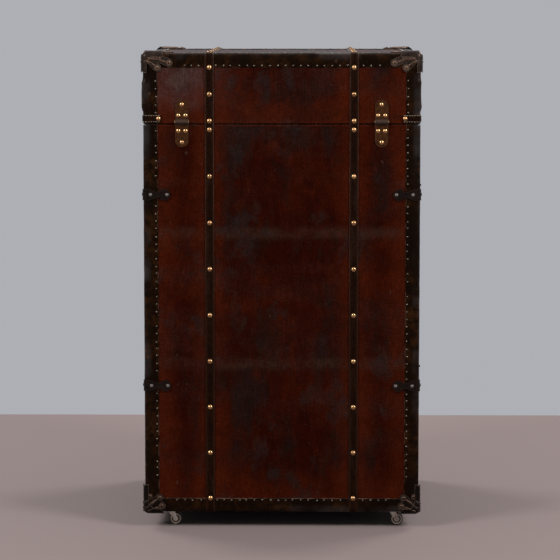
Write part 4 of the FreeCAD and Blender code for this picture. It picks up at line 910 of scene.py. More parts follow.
def cloth_finish(colour):
    """Plain-woven lining cotton, a little faded and foxed."""
    made, tree, shader, where = material("lining_cloth")
    weave = group(tree, "weave", {"Vector": coordinates(tree, "UV"), "Threads": 1100.0})
    age = group(tree, "patina", {"Vector": where, "Patch": 5.0, "Mottle": 26.0})
    tone = layered(
        tree, colour, (times(tree, age["Broad"], 0.4), shaded(colour, 0.72)),
        (times(tree, weave["Slub"], 0.25), shaded(colour, 1.25)),
    )
    fill(tree, shader, {
        "Base Color": tone,
        "Roughness": 0.9,
        "Specular IOR Level": 0.2,
        "Sheen Weight": 0.15,
        "Normal": bump(tree, weave["Height"], 0.00015, 0.6),
    })
    return made


def thread_finish(colour):
    """Waxed thread, twisted and a little dirty."""
    made, tree, shader, where = material("waxed_thread")
    dirt = noise(tree, where, 300.0, 3.0)
    fill(tree, shader, {
        "Base Color": blend(tree, spread(tree, dirt, 0.4, 0.7), colour, shaded(colour, 0.4)),
        "Roughness": spread(tree, dirt, 0.3, 0.7, 0.45, 0.7),
    })
    return made


def dress(finish, *nodes):
    """Gives CAD nodes a finish through their material slots."""
    for name in nodes:
        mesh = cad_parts[name].data
        mesh.materials.clear()
        mesh.materials.append(finish)


# ---------------------------------------------------------------- leather skins


RIM_ROLL = 1.7 * MM
RIM_LINES = np.array([0, 0.15, 0.5, 1.0, 1.7, 2.6, 3.4, 4.4, 6.0]) * MM


def rim_drop(heights, rim_z):
    """How much of a covering is left at the rim it is turned over: a quarter circle."""
    return np.sqrt(1 - (1 - np.clip(np.abs(heights - rim_z) / RIM_ROLL, 0, 1)) ** 2)


def skin_lift(points, away, rim_z, wave, seed):
    """How far a skin stands off its board: slow unevenness, a soft ridge where it is turned over
    the rim, and the turn itself."""
    below = np.abs(points[..., 2] - rim_z)
    ridge = 0.6 * MM * bell(below - 3.4 * MM, 1.8 * MM)
    wall = np.abs(away[..., 2]) < 0.5
    turned = (1 - rim_drop(points[..., 2], rim_z)) * 1.35 * MM
    return relief(points, wave, 0.11, seed) + (ridge - turned) * wall


def case_skin(settings, seed):
    """The rear case's leather as two closed shells: the three walls carried round in one strip,
    from the seam, round the back and to the seam again, and the panel underneath. Each point of
    the flat box goes to the rounded one, plus the lift."""
    depth = span(-HALF_DEPTH, -SEAM_Y, settings.pitch, round_low=True)
    width = span(-HALF_WIDTH, HALF_WIDTH, settings.pitch, round_low=True, round_high=True)
    ups = span(BASE_Z, RIM_Z, settings.pitch, round_low=True)
    ups = np.concatenate([ups[:-1], RIM_Z - RIM_LINES[::-1]])
    walls = points_at(*three_sides(width, depth).T, ups[:, None])
    under = points_at(width[:, None], depth, BASE_Z)
    return [skin_shell(flat, CASE_LIMITS, RIM_Z, settings.wave, seed) for flat in (walls, under)]


def skin_shell(flat, limits, rim_z, wave, seed, loop=False):
    """A leather shell whose outside follows the lift and whose inside is plain."""
    base, away = on_box(flat, limits)
    outer, _ = on_box(flat, limits, skin_lift(base, away, rim_z, wave, seed))
    inner, _ = on_box(flat, limits, -SKIN_DEPTH)
    return slab(outer, inner, loop=loop)


def lid_skin(settings, seed):
    """The lid's leather as two closed shells: its four walls as one closed ring, and its top."""
    depth = span(-HALF_DEPTH, HALF_DEPTH, settings.pitch, round_low=True, round_high=True)
    width = span(-HALF_WIDTH, HALF_WIDTH, settings.pitch, round_low=True, round_high=True)
    ups = span(LID_RIM_Z, LID_TOP_Z, settings.pitch, round_high=True)
    ups = np.concatenate([LID_RIM_Z + RIM_LINES, ups[1:]])
    walls = points_at(*four_sides(width, depth).T, ups[:, None])
    top = points_at(width[:, None], depth, LID_TOP_Z)
    return [
        skin_shell(walls, LID_LIMITS, LID_RIM_Z, settings.wave, seed, loop=True),
        skin_shell(top, LID_LIMITS, LID_RIM_Z, settings.wave, seed),
    ]


class TRUNK_OT_leather(bpy.types.Operator):
    """Covers the cases and the lid with leather"""

    bl_idname = "trunk.leather"
    bl_label = "Leather covering"

    def execute(self, context):
        settings = context.scene.trunk_leather
        finish = oxblood_finish(settings)
        rear = case_skin(settings, 11)
        front = mirrored_y(case_skin(settings, 12))
        lid = lid_skin(settings, 13)
        cover_all("leather_skin", "leather", finish, rear, front, lid)
        return {"FINISHED"}


# ---------------------------------------------------------------- binding and tacks


X_AXIS, Y_AXIS, Z_AXIS = np.eye(3)
OUT = {
    "back": -Y_AXIS, "front": Y_AXIS, "left": -X_AXIS, "right": X_AXIS, "top": Z_AXIS, "bottom": -Z_AXIS,
}
BINDING_STEP = 6 * MM

# How far the side band and the caps hold down the lid's slack binding, and how it eases off.
HELD_LOW, HELD_HIGH, HELD_EASE = 24 * MM, 50 * MM, 14 * MM

# How much lower level strips and the seam's strip lie than upright ones, where strips cross.
LEVEL_STEP = 0.25 * MM
SEAM_STEP = 0.12 * MM

# Tacks: how far in from a strip's edge, how deep they sit, and the share that is lost.
TACK_INSET = 3.9 * MM
SEAM_TACK_INSET = 3.6 * MM
TACK_DEPTH = 0.15 * MM
LOST_TACKS = 0.04

# How far tacks keep from both ends of an upright edge (True) and of a level one (False).
BACK_MARGINS = {True: (76 * MM, 12 * MM), False: (66 * MM, 66 * MM)}
SIDE_MARGINS = {True: (76 * MM, 12 * MM), False: (66 * MM, 30 * MM)}
LID_MARGINS = {True: (24 * MM, 55 * MM), False: (83 * MM, 83 * MM)}


def on_face(limits, wall):
    """The coordinate of a wall of the sharp box, along the wall's own axis."""
    low, high = limits
    out = OUT[wall]
    return out * (high if out.sum() > 0 else -low)


def edge_flat(limits, walls, along, across):
    """Flat points of a strip folded over the edge of two walls: it lies on the first wall for
    negative places across, and on the second for positive ones."""
    first, second = walls
    axis = np.abs(np.cross(OUT[first], OUT[second]))
    corner = on_face(limits, first) + on_face(limits, second)
    places = across[None, :, None]
    side = np.minimum(places, 0) * OUT[second] - np.maximum(places, 0) * OUT[first]
    return corner + side + along[:, None, None] * axis


def across_lines(low, high, fold):
    """Places across a strip: close together at both of its edges and over the fold."""
    rim = np.array([0, 0.1, 0.35, 0.8, 1.6, 3.0]) * MM
    middle = np.linspace(low + 3 * MM, high - 3 * MM, 5)[1:-1]
    folds = EDGE_ROUND * np.array([-1, -0.58, -0.27, 0, 0.27, 0.58, 1]) if fold else np.array([])
    lines = np.concatenate([low + rim, high - rim, middle, folds])
    return np.unique(np.round(lines, 7))


def rolled(across, low, high, radius=1.1 * MM):
    """The share of a strip's thickness at each place across: a quarter circle at both edges."""
    near = np.minimum(across - low, high - across)
    return np.sqrt(1 - (1 - np.clip(near / radius, 0.0, 1)) ** 2)


def binding_shell(flat, limits, across, low, high, level, seed, slack=0.0, rim_z=None):
    """A strip of binding: its thickness times the rolled edges, plus creases. Where it is slack,
    its fold swells away from the board, by the slack times a bell curve across and an
    unevenness along. Its map runs from -1 to 1 across."""
    base, _ = on_box(flat, limits)
    edge = rolled(across, low, high)[None]
    if rim_z is not None:
        edge = edge * rim_drop(flat[..., 2], rim_z)
    creases = relief(base, 0.6 * MM, 0.032, seed) - 0.3 * MM
    swell = slack * bell(across, 11.5 * MM)[None] * relief(base, 1.0, 0.09, seed + 1)
    outer, _ = on_box(flat, limits, (level + creases + swell) * edge)
    inner, _ = on_box(flat, limits, -BINDING_DEPTH)
    middle, half = (low + high) / 2, (high - low) / 2
    uv = points_at((across - middle) / half, np.arange(len(flat))[:, None] * BINDING_STEP)
    return slab(outer, inner, uv)


def along_lines(low, high):
    """Places along a strip of binding, a step apart, and closer together at both ends."""
    ends = RIM_LINES[:-1]
    middle = np.linspace(low + RIM_LINES[-1], high - RIM_LINES[-1], int((high - low) / BINDING_STEP))
    return np.concatenate([low + ends, middle, high - ends[::-1]])


def case_edges():
    """The rear case's folded edges: the two walls, and where the strip starts and ends."""
    yield ("back", "left"), BASE_Z, RIM_Z
    yield ("back", "right"), BASE_Z, RIM_Z
    yield ("back", "bottom"), -HALF_WIDTH, HALF_WIDTH
    yield ("left", "bottom"), -HALF_DEPTH, -SEAM_Y
    yield ("right", "bottom"), -HALF_DEPTH, -SEAM_Y


def lid_edges():
    """The lid's folded edges: four upright ones and four round the top."""
    for wall in ("back", "front"):
        for side in ("left", "right"):
            yield (wall, side), LID_RIM_Z, LID_TOP_Z
        yield (wall, "top"), -HALF_WIDTH, HALF_WIDTH
    for side in ("left", "right"):
        yield (side, "top"), -HALF_DEPTH, HALF_DEPTH


def is_upright(walls):
    """Whether the edge between two walls stands upright."""
    return "top" not in walls and "bottom" not in walls


def swollen(heights, low, high):
    """How much slack binding swells between what holds it: 0 near both ends of an upright edge
    and 1 along its middle. Where b rises from 0 to 1 at an end, it is b times 3 - 2b, squared."""
    above = np.clip((heights - low - HELD_LOW) / HELD_EASE, 0, 1)
    below = np.clip((high - HELD_HIGH - heights) / HELD_EASE, 0, 1)
    bare = above * below
    return bare**2 * (3 - 2 * bare) ** 2


def folded_binding(settings, limits, edges, rim_z, seed, slack=0.0):
    """Strips of binding over a box's edges. Level strips lie a little lower than upright ones."""
    wide = settings.width
    across = across_lines(-wide, wide, fold=True)
    shells = []
    for number, (walls, low, high) in enumerate(edges):
        flat = edge_flat(limits, walls, along_lines(low, high), across)
        if is_upright(walls):
            loose = slack * swollen(flat[..., 2], rim_z, limits[1][2])
            shape = (settings.thickness, seed + number, loose, rim_z)
        else:
            shape = (settings.thickness - LEVEL_STEP, seed + number)
        shells.append(binding_shell(flat, limits, across, -wide, wide, *shape))
    return shells


def seam_binding(settings, seed):
    """The flat strip of binding round the seam of the rear case: down one side, under, and up.
    Its soft lip reaches past the board and closes the seam."""
    wide = settings.seam_width
    lip = SEAM_Y - 0.02 * MM
    across = across_lines(-lip, wide, fold=False)
    ups = span(BASE_Z, RIM_Z, BINDING_STEP, round_low=True)
    width = span(-HALF_WIDTH, HALF_WIDTH, BINDING_STEP, round_low=True, round_high=True)
    path = three_sides(width, ups)
    flat = points_at(path[:, :1], -SEAM_Y - across, path[:, 1:])
    return [binding_shell(flat, CASE_LIMITS, across, -lip, wide, settings.thickness - SEAM_STEP, seed)]


def ring_faces(sides, rings):
    """Quads between rings of points that stand over each other, one array for each gap."""
    k = np.arange(sides)
    turned = (k + 1) % sides
    return [points_at(k, turned, turned + sides, k + sides) + sides * i for i in range(rings - 1)]


def tack_shape(radius):
    """A tack's low round head: three rings of eight points, closed by fans of quads."""
    turn = np.arange(8) * np.pi / 4
    rings = [(radius, -0.5 * MM), (radius * 0.97, 0.25 * MM), (radius * 0.6, 0.75 * MM)]
    points = [points_at(r * np.cos(turn), r * np.sin(turn), z) for r, z in rings]
    points = np.concatenate(points + [np.array([[0, 0, 0.95 * MM], [0, 0, -0.5 * MM]])])
    last_ring, top, bottom = 16, 24, 25
    even = np.arange(0, 8, 2)
    fan = [even, (even + 1) % 8, (even + 2) % 8]
    over = points_at(top, *[last_ring + corner for corner in fan])
    under = points_at(bottom, *fan[::-1])
    return points, np.concatenate([*ring_faces(8, 3), over, under])


def frames_on(away):
    """Three axes for each outward direction: two in the surface, and the direction itself."""
    helper = np.where(np.abs(away[:, 2:]) > 0.9, Y_AXIS, Z_AXIS)
    first = np.cross(helper, away)
    first /= np.linalg.norm(first, axis=1, keepdims=True)
    return np.stack([first, np.cross(away, first), away], 1)


def clear_of_fittings(places):
    """Which tack places no strap, iron strap or side band covers."""
    x, y, z = places.T
    skin, strap_half, iron_half, flare_half, flare_reach = (w * MM for w in (4, 12.5, 14, 23, 60))
    on_path = (np.abs(y) > HALF_DEPTH - skin) | (z > LID_TOP_Z - skin) | (z < BASE_Z + skin)
    on_straps = (np.abs(np.abs(x) - STRAP_CENTRE) < strap_half) & on_path
    irons = [(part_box(n)[0].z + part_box(n)[1].z) / 2 for n in ("case_hasp_upper", "case_hasp_lower")]
    from_iron = np.min([np.abs(z - iron) for iron in irons], 0)
    on_flares = (from_iron < flare_half) & (np.abs(y) < flare_reach)
    on_band = (z > LID_RIM_Z - 1 * MM) & (z < LID_RIM_Z + 22 * MM)
    return ~(on_straps | (from_iron < iron_half) | on_flares | on_band)


def tack_rows(settings, limits, edges, margins, seed):
    """Places and directions of the tacks in both rows of each folded edge."""
    rng = np.random.default_rng(seed)
    inset = settings.width - TACK_INSET
    places, directions = [], []
    for walls, low, high in edges:
        start, end = margins[is_upright(walls)]
        count = int((high - low - start - end) / settings.tack_pitch) + 1
        for side in (-inset, inset):
            along = np.linspace(low + start, high - end, count) + rng.normal(0, 1.0 * MM, count)
            astray = rng.normal(0, 0.4 * MM, count)
            flat = edge_flat(limits, walls, along, np.array([side]))[:, 0]
            flat += astray[:, None] * (OUT[walls[1]] if side < 0 else OUT[walls[0]])
            flat = flat[rng.random(count) > LOST_TACKS]
            point, away = on_box(flat, limits, settings.thickness - TACK_DEPTH)
            places.append(point)
            directions.append(away)
    return np.concatenate(places), np.concatenate(directions)


def seam_tacks(settings, seed):
    """Places and directions of the tacks beside the seam, on both sides of the rear case."""
    rng = np.random.default_rng(seed)
    count = int((RIM_Z - BASE_Z - 80 * MM) / settings.tack_pitch)
    ups = np.linspace(BASE_Z + 40 * MM, RIM_Z - 12 * MM, count) + rng.normal(0, 0.5 * MM, count)
    level = HALF_WIDTH + settings.thickness - 0.25 * MM
    row_y = -SEAM_Y - settings.seam_width + SEAM_TACK_INSET
    places = np.concatenate([points_at(side, row_y, ups) for side in (-level, level)])
    return places, np.sign(places[:, :1]) * X_AXIS


def tack_piece(name, body, settings, rows, finish):
    """All tacks of one body as one object."""
    places = np.concatenate([place for place, _ in rows])
    directions = np.concatenate([direction for _, direction in rows])
    keep = clear_of_fittings(places)
    shape = tack_shape(settings.tack_radius)
    shell = repeated(shape, places[keep], frames_on(directions[keep]))
    return make_piece(name, [shell], body, finish=finish, crease=60)


class TRUNK_OT_binding(bpy.types.Operator):
    """Binds the edges with black leather and tacks it down"""

    bl_idname = "trunk.binding"
    bl_label = "Binding and tacks"

    def execute(self, context):
        settings = context.scene.trunk_binding
        finish = black_leather_finish("binding_leather", settings.colour, settings.worn)
        tack = metal_finish(
            "tack_metal", (0.22, 0.18, 0.14), (0.06, 0.04, 0.03), (0.30, 0.25, 0.20),
            metallic=0.85, rough=0.34, tarnish_share=0.7,
        )
        back_edges = [edge for edge in case_edges() if edge[0][0] == "back"]
        side_edges = [edge for edge in case_edges() if edge[0][0] != "back"]
        for name, seed in (("rear", 21), ("front", 41)):
            shells = folded_binding(settings, CASE_LIMITS, case_edges(), RIM_Z, seed)
            shells += seam_binding(settings, seed + 9)
            rows = [
                tack_rows(settings, CASE_LIMITS, back_edges, BACK_MARGINS, seed),
                tack_rows(settings, CASE_LIMITS, side_edges, SIDE_MARGINS, seed + 1),
                seam_tacks(settings, seed + 2),
            ]
            if name == "front":
                shells = mirrored_y(shells)
                rows = [(place * FLIP_Y, direction * FLIP_Y) for place, direction in rows]
            body = name + "_case"
            make_piece(f"{name}_binding_leather", shells, body, [f"{name}_binding"], finish)
            tack_piece(f"{name}_tacks", body, settings, rows, tack)
        shells = folded_binding(settings, LID_LIMITS, lid_edges(), LID_RIM_Z, 51, settings.slack)
        make_piece("lid_binding_leather", shells, "lid", ["lid_binding"], finish)
        rows = [tack_rows(settings, LID_LIMITS, lid_edges(), LID_MARGINS, 62)]
        tack_piece("lid_tacks", "lid", settings, rows, tack)
        return {"FINISHED"}


# ---------------------------------------------------------------- straps, bands and stitches


STRAP_RIM = np.array([0, 0.08, 0.3, 0.75, 1.4, 1.9, 2.3, 2.7, 3.3, 5.0]) * MM
BAND_RIM = np.array([0, 0.08, 0.3, 0.75, 1.4, 2.0, 2.5, 3.0, 4.5]) * MM
STRAP_PITCH = 5 * MM


def strip_lines(half, rim):
    """Places across a strip: its middle, and lines close together at both edges."""
    return np.unique(np.concatenate([-half + rim, [0.0], half - rim]))


def strip_shell(flat, limits, across, run, face, roll, share=1.0):
    """A strip of hide: its face's height times the rolled edges. Its map runs from minus the
    share to the share across, and in metres along."""
    half = across[-1]
    outer, _ = on_box(flat, limits, face * rolled(across, -half, half, roll)[None])
    inner, _ = on_box(flat, limits, -STRAP_DEPTH)
    return slab(outer, inner, points_at(across / half * share, run[:, None]))


def strap_shell(path, middle, settings, nails, limits, seed):
    """A strap along a path in the YZ plane, with a crease beside each edge and a dimple round
    every nail: both are bell curves, taken from the face's height."""
    half = settings.width / 2
    across = strip_lines(half, STRAP_RIM)
    flat = points_at(middle + across, path[:, :1], path[:, 1:])
    base, _ = on_box(flat, limits)
    crease = 0.35 * MM * bell(half - np.abs(across) - 2.3 * MM, 0.45 * MM)
    dimple = np.zeros(flat.shape[:-1])
    for nail in nails:
        dimple += 0.35 * MM * bell(np.linalg.norm(base - nail, axis=-1), 7 * MM)
    face = settings.level - crease[None] - dimple + relief(base, 0.3 * MM, 0.08, seed) - 0.2 * MM
    return strip_shell(flat, limits, across, run_along(path), face, 1.5 * MM)


def nail_places(name, middle):
    """Middles of a node's nails on one strap: its points near that strap, in clusters."""
    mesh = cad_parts[name].data
    points = np.empty(len(mesh.vertices) * 3)
    mesh.vertices.foreach_get("co", points)
    points = points.reshape(-1, 3)
    points = points[np.abs(points[:, 0] - middle) < 6 * MM]
    cells = np.round(points / (14 * MM)).astype(int)
    return np.array([points[(cells == cell).all(1)].mean(0) for cell in np.unique(cells, axis=0)])


def case_strap_path(top):
    """The rear case's strap: down the back, round the bottom edge, and under to the seam."""
    ups = span(BASE_Z, top, STRAP_PITCH, round_low=True)[::-1]
    unders = span(-HALF_DEPTH, -SEAM_Y, STRAP_PITCH, round_low=True)[1:]
    return np.concatenate([points_at(-HALF_DEPTH, ups), points_at(unders, BASE_Z)])


def lid_strap_path(start_z):
    """The lid's strap: up the back, over the top, and down the front to the rim."""
    back = span(start_z, LID_TOP_Z, STRAP_PITCH, round_high=True)
    over = span(-HALF_DEPTH, HALF_DEPTH, STRAP_PITCH, round_low=True, round_high=True)[1:-1]
    front = span(LID_RIM_Z, LID_TOP_Z, STRAP_PITCH, round_high=True)[::-1]
    return np.concatenate([
        points_at(-HALF_DEPTH, back), points_at(over, LID_TOP_Z), points_at(HALF_DEPTH, front),
    ])


BRIDGE_LOW = RIM_Z - 7 * MM
BRIDGE_HIGH = LID_RIM_Z + 14 * MM
BRIDGE_LIMITS = np.array([[-HALF_WIDTH, -HALF_DEPTH, 0.0], [HALF_WIDTH, HALF_DEPTH, OPEN_ABOVE]])
BAND_WRAP = 35 * MM


def band_path(side):
    """A side band's run in plan: along the back, round both corners, and along the front."""
    inner = side * (HALF_WIDTH - BAND_WRAP)
    wrap = span(0, BAND_WRAP, STRAP_PITCH, round_high=True)
    depth = span(-HALF_DEPTH, HALF_DEPTH, STRAP_PITCH, round_low=True, round_high=True)[1:-1]
    return np.concatenate([
        points_at(inner + side * wrap, -HALF_DEPTH),
        points_at(side * HALF_WIDTH, depth),
        points_at(inner + side * wrap[::-1], HALF_DEPTH),
    ])


def side_band(side, settings, seed):
    """A band round one side of the lid, with a crease beside each edge, and its stitches'
    places and axes: along the band, across it, and out."""
    low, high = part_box("lid_side_bands")
    middle, half = (low.z + high.z) / 2, (high.z - low.z) / 2
    across = strip_lines(half, BAND_RIM)
    path = band_path(side)
    run = run_along(path)
    flat = points_at(path[:, :1], path[:, 1:], middle + across)
    base, _ = on_box(flat, LID_LIMITS)
    crease = 0.3 * MM * bell(half - np.abs(across) - 1.5 * MM, 0.5 * MM)
    face = settings.band_level - crease[None] + relief(base, 0.3 * MM, 0.06, seed) - 0.2 * MM
    shell = strip_shell(flat, LID_LIMITS, across, run, face, 1.2 * MM, 0.8)
    places, axes = [], []
    at = np.arange(4 * MM, run[-1] - 4 * MM, settings.stitch_pitch)
    for row in (-half + 1.5 * MM, half - 1.5 * MM):
        line = points_at(np.interp(at, run, path[:, 0]), np.interp(at, run, path[:, 1]), middle + row)
        point, away = on_box(line, LID_LIMITS, settings.band_level - 0.35 * MM)
        heading = np.gradient(point, axis=0)
        heading /= np.linalg.norm(heading, axis=1, keepdims=True)
        away -= (away * heading).sum(-1, keepdims=True) * heading
        away /= np.linalg.norm(away, axis=1, keepdims=True)
        places.append(point)
        axes.append(np.stack([heading, np.cross(away, heading), away], 1))
    return shell, np.concatenate(places), np.concatenate(axes)


def stitch_shape(length):
    """One stitch: a short bar of thread that dips into the leather at both ends."""
    turn = np.arange(6) * np.pi / 3
    last_ring = 24
    steps = np.array([-0.5, -0.38, 0.0, 0.38, 0.5]) * length
    radii = np.array([0.25, 0.42, 0.46, 0.42, 0.25]) * MM
    dips = np.array([-0.45, 0.0, 0.12, 0.0, -0.45]) * MM
    across = radii[:, None] * np.cos(turn)
    up = radii[:, None] * np.sin(turn) + dips[:, None]
    faces = [quads[:, [0, 3, 2, 1]] for quads in ring_faces(6, 5)]
    faces.append(np.array([[0, 1, 2, 3], [0, 3, 4, 5]]))
    faces.append(last_ring + np.array([[3, 2, 1, 0], [5, 4, 3, 0]]))
    return points_at(steps[:, None], across, up).reshape(-1, 3), np.concatenate(faces)


class TRUNK_OT_straps(bpy.types.Operator):
    """Lays the straps over the cases and the lid, and the stitched bands round the lid's sides"""

    bl_idname = "trunk.straps"
    bl_label = "Straps and side bands"

    def execute(self, context):
        settings = context.scene.trunk_strap
        finish = strap_finish(settings)
        rear, front, over, bridge = [], [], [], []
        bridge_path = points_at(-HALF_DEPTH, np.linspace(BRIDGE_LOW, BRIDGE_HIGH, 12))
        for number, middle in enumerate((-STRAP_CENTRE, STRAP_CENTRE)):
            nails = nail_places("rear_nails", middle)
            both = np.concatenate([nails, nail_places("lid_nails", middle)])
            for pieces, path, limits in (
                (rear, case_strap_path(BRIDGE_LOW), CASE_LIMITS),
                (over, lid_strap_path(BRIDGE_HIGH), LID_LIMITS),
                (bridge, bridge_path, BRIDGE_LIMITS),
            ):
                pieces.append(strap_shell(path, middle, settings, both, limits, 71 + number))
            path = case_strap_path(RIM_Z)
            front.append(strap_shell(path, middle, settings, nails, CASE_LIMITS, 73 + number))
        cover_all("strap_leather", "straps", finish, rear, mirrored_y(front), over)
        piece = make_piece("strap_bridges", bridge, None, finish=finish)
        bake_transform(piece)
        bands, places, axes = zip(*[side_band(side, settings, 81 + side) for side in (-1, 1)])
        make_piece("side_band_leather", bands, "lid", ["lid_side_bands"], finish)
        stitch = stitch_shape(settings.stitch_pitch * 0.72)
        stitches = repeated(stitch, np.concatenate(places), np.concatenate(axes))
        thread = thread_finish(settings.thread)
        make_piece("side_band_stitches", [stitches], "lid", finish=thread, crease=80)
        return {"FINISHED"}


# ---------------------------------------------------------------- linings and grips


LINING_ROUND = 1.0 * MM
LINING_THICKNESS = 0.9 * MM


def lining_shell(flat, limits, seed, loop=False):
    """Cloth glued to the inside of a wall: plain towards the board, softly uneven inside.
    Both grids are the box's points, carried inwards by the cloth's thickness plus the relief."""
    base, _ = on_box(flat, limits, 0.0, LINING_ROUND)
    depth = LINING_THICKNESS + relief(base, 0.35 * MM, 0.07, seed)
    inner, _ = on_box(flat, limits, -depth, LINING_ROUND)
    steps = [np.linalg.norm(np.diff(base, axis=axis), axis=-1) for axis in (0, 1)]
    along = np.concatenate([np.zeros((1, base.shape[1])), np.cumsum(steps[0], 0)])
    across = np.concatenate([np.zeros((base.shape[0], 1)), np.cumsum(steps[1], 1)], 1)
    return slab(base, inner, np.stack([across, along], -1), loop=loop)


def case_lining(seed):
    """The rear case's lining: three walls in one strip, and the floor."""
    low = LINING_LOW
    high = np.array([LINING_HIGH[0], -LINING_LOW[1], OPEN_ABOVE])
    depth = np.linspace(low[1], -SEAM_Y, 20)
    width = np.linspace(low[0], high[0], 40)
    walls = points_at(*three_sides(width, depth).T, np.linspace(low[2], RIM_Z, 60)[:, None])
    under = points_at(width[:, None], depth, low[2])
    return [lining_shell(flat, (low, high), seed) for flat in (walls, under)]


def lid_lining(seed):
    """The lid's lining: its four walls as one ring, and the panel under its top."""
    low = np.array([LID_LINING_LOW[0], LID_LINING_LOW[1], OPEN_BELOW])
    high = LID_LINING_HIGH
    depth = np.linspace(low[1], high[1], 40)
    width = np.linspace(low[0], high[0], 40)
    walls = points_at(*four_sides(width, depth).T, np.linspace(LID_RIM_Z, high[2], 12)[:, None])
    top = points_at(width[:, None], depth, high[2])
    return [lining_shell(walls, (low, high), seed, loop=True), lining_shell(top, (low, high), seed)]


class TRUNK_OT_linings(bpy.types.Operator):
    """Lines the cases and the lid with cloth"""

    bl_idname = "trunk.linings"
    bl_label = "Cloth linings"

    def execute(self, context):
        finish = cloth_finish(tuple(context.scene.trunk_inside.cloth))
        front = mirrored_y(case_lining(92))
        cover_all("lining_cloth", "lining", finish, case_lining(91), front, lid_lining(93))
        return {"FINISHED"}


def grip_shell(box, bore):
    """A leather grip round a straight bar: rings whose radius swells in the middle, draws in at
    both ends, and carries a low ridge of stitching along the inside. The inside is a plain tube."""
    low, high = box
    centre = (low + high) / 2
    radius = (high[2] - low[2]) / 2
    along = np.linspace(low[1], high[1], 41)
    turn = np.linspace(0, 2 * np.pi, 33)[:-1]
    place = (along - centre[1]) / (along[-1] - centre[1])
    end = np.sqrt(np.clip(1 - np.abs(place) ** 14, 0.02, 1))
    swell = radius * (0.86 + 0.10 * np.cos(place * np.pi / 2)) * end
    from_seam = turn - np.pi / 2
    ridge = 0.035 * radius * bell(from_seam, 0.16)
    pull = 0.03 * radius * np.abs(np.sin(along / (3.2 * MM)))[:, None] * bell(from_seam, 0.5)
    rings = np.maximum(swell[:, None] + ridge[None] - pull, bore + 0.4 * MM)

    def tube(size):
        return points_at(centre[0] + size * np.cos(turn), along[:, None], centre[2] + size * np.sin(turn))

    return slab(tube(rings), tube(bore), loop=True)


class TRUNK_OT_grips(bpy.types.Operator):
    """Covers the handles' bars with leather grips"""

    bl_idname = "trunk.grips"
    bl_label = "Handle grips"

    def execute(self, context):
        settings = context.scene.trunk_binding
        finish = black_leather_finish(
            "grip_leather", (0.020, 0.009, 0.005), (0.05, 0.022, 0.011), pebble=1200.0
        )
        for side in ("right", "left"):
            grip = "handle_grip_" + side
            bar = node_box("handle_bail_" + side)
            shell = grip_shell(node_box(grip), (bar[1][0] - bar[0][0]) / 2)
            body = "handle_" + side
            make_piece(body + "_grip_leather", [shell], body, [grip], finish)
        return {"FINISHED"}


# ---------------------------------------------------------------- fittings and woodwork


class TRUNK_OT_fittings(bpy.types.Operator):
    """Finishes the caps, irons, hinges, nails, handles and casters"""

    bl_idname = "trunk.fittings"
    bl_label = "Metal fittings"

    def execute(self, context):
        metal = context.scene.trunk_metal
        inside = context.scene.trunk_inside
        blackened = (low_down, (0.0070, 0.0042, 0.0034))
        rubbed = (raised_work, (0.155, 0.088, 0.058))
        # Painted highlight: the proud rivet heads on the irons are painted light grey as glints.
        rivet_glint = (painted_rivet_glints, (0.16, 0.14, 0.13))
        caps = metal_finish(
            "stamped_bronze", metal.bronze, (0.016, 0.0095, 0.0070), (0.40, 0.27, 0.20), metallic=0.65,
            rough=0.26, tarnish_share=0.8, wear_radius=0.8 * MM, wear_share=0.9, marks=(blackened, rubbed),
        )
        iron = metal_finish(
            "black_iron", metal.iron, metal.rust, (0.075, 0.055, 0.045), metallic=0.55,
            rough=0.36, tarnish_share=0.35, wear_radius=1 * MM, wear_share=0.6, marks=(rivet_glint,),
        )
        brass = metal_finish(
            "nail_brass", metal.brass, (0.16, 0.060, 0.024), metal.brass, metallic=1.0,
            rough=0.18, tarnish_share=0.4, wear_radius=0.5 * MM, wear_share=0.2,
        )
        dull = metal_finish(
            "handle_brass", (0.42, 0.27, 0.13), (0.12, 0.07, 0.035), (0.7, 0.5, 0.28),
            metallic=1.0, rough=0.32,
        )
        zinc = metal_finish(
            "zinc_steel", metal.zinc, (0.20, 0.125, 0.08), (0.88, 0.84, 0.78),
            metallic=0.7, rough=0.24, tarnish_share=0.75,
        )
        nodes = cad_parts
        forks = [n for n in nodes if "caster_fork" in n or "caster_plates" in n]
        dress(caps, *[n for n in nodes if n.endswith("corner_caps")])
        dress(brass, *[n for n in nodes if n.endswith("_nails")])
        dress(iron, *[n for n in nodes if n.startswith(("case_", "lid_hasp")) or n == "lid_staple"])
        dress(dull, "handle_lugs", "handle_bail_right", "handle_bail_left", "hinge_pins")
        dress(hinge_finish(metal), "lid_hinge_lower", "lid_hinge_upper")
        dress(zinc, "rail_track", "trolley_bar", *forks)
        for name in nodes:
            if name.startswith("caster_wheel"):
                low, high = node_box(name)
                dress(wheel_finish(name + "_finish", (low + high) / 2, inside), name)
        return {"FINISHED"}


# How much of a drawer's knobs is brass, from their faces to just short of the drawer's front.
BRASS_LENGTH = 11.8 * MM


class TRUNK_OT_woodwork(bpy.types.Operator):
    """Finishes the boards, the cabinet with its drawers, the rail's bar and the hangers"""

    bl_idname = "trunk.woodwork"
    bl_label = "Woodwork"

    def execute(self, context):
        inside = context.scene.trunk_inside
        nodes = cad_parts
        plywood = wood_finish("plywood", tuple(inside.plywood), rough=0.6)
        dress(plywood, *[n for n in nodes if n.endswith("_shell")])
        brass = tuple(context.scene.trunk_metal.brass)
        knob_y = node_box("drawer_1")[0][1] + BRASS_LENGTH
        drawers = wood_finish("drawer_wood", tuple(inside.drawer), brass=brass, brass_y=knob_y)
        dress(drawers, *[n for n in nodes if n.startswith("drawer_")])
        varnished = wood_finish("hanger_wood", tuple(inside.hanger), rough=0.3)
        dress(varnished, "rail_bridge", *[n for n in nodes if n.startswith("hanger_")])
        return {"FINISHED"}


# ---------------------------------------------------------------- stage


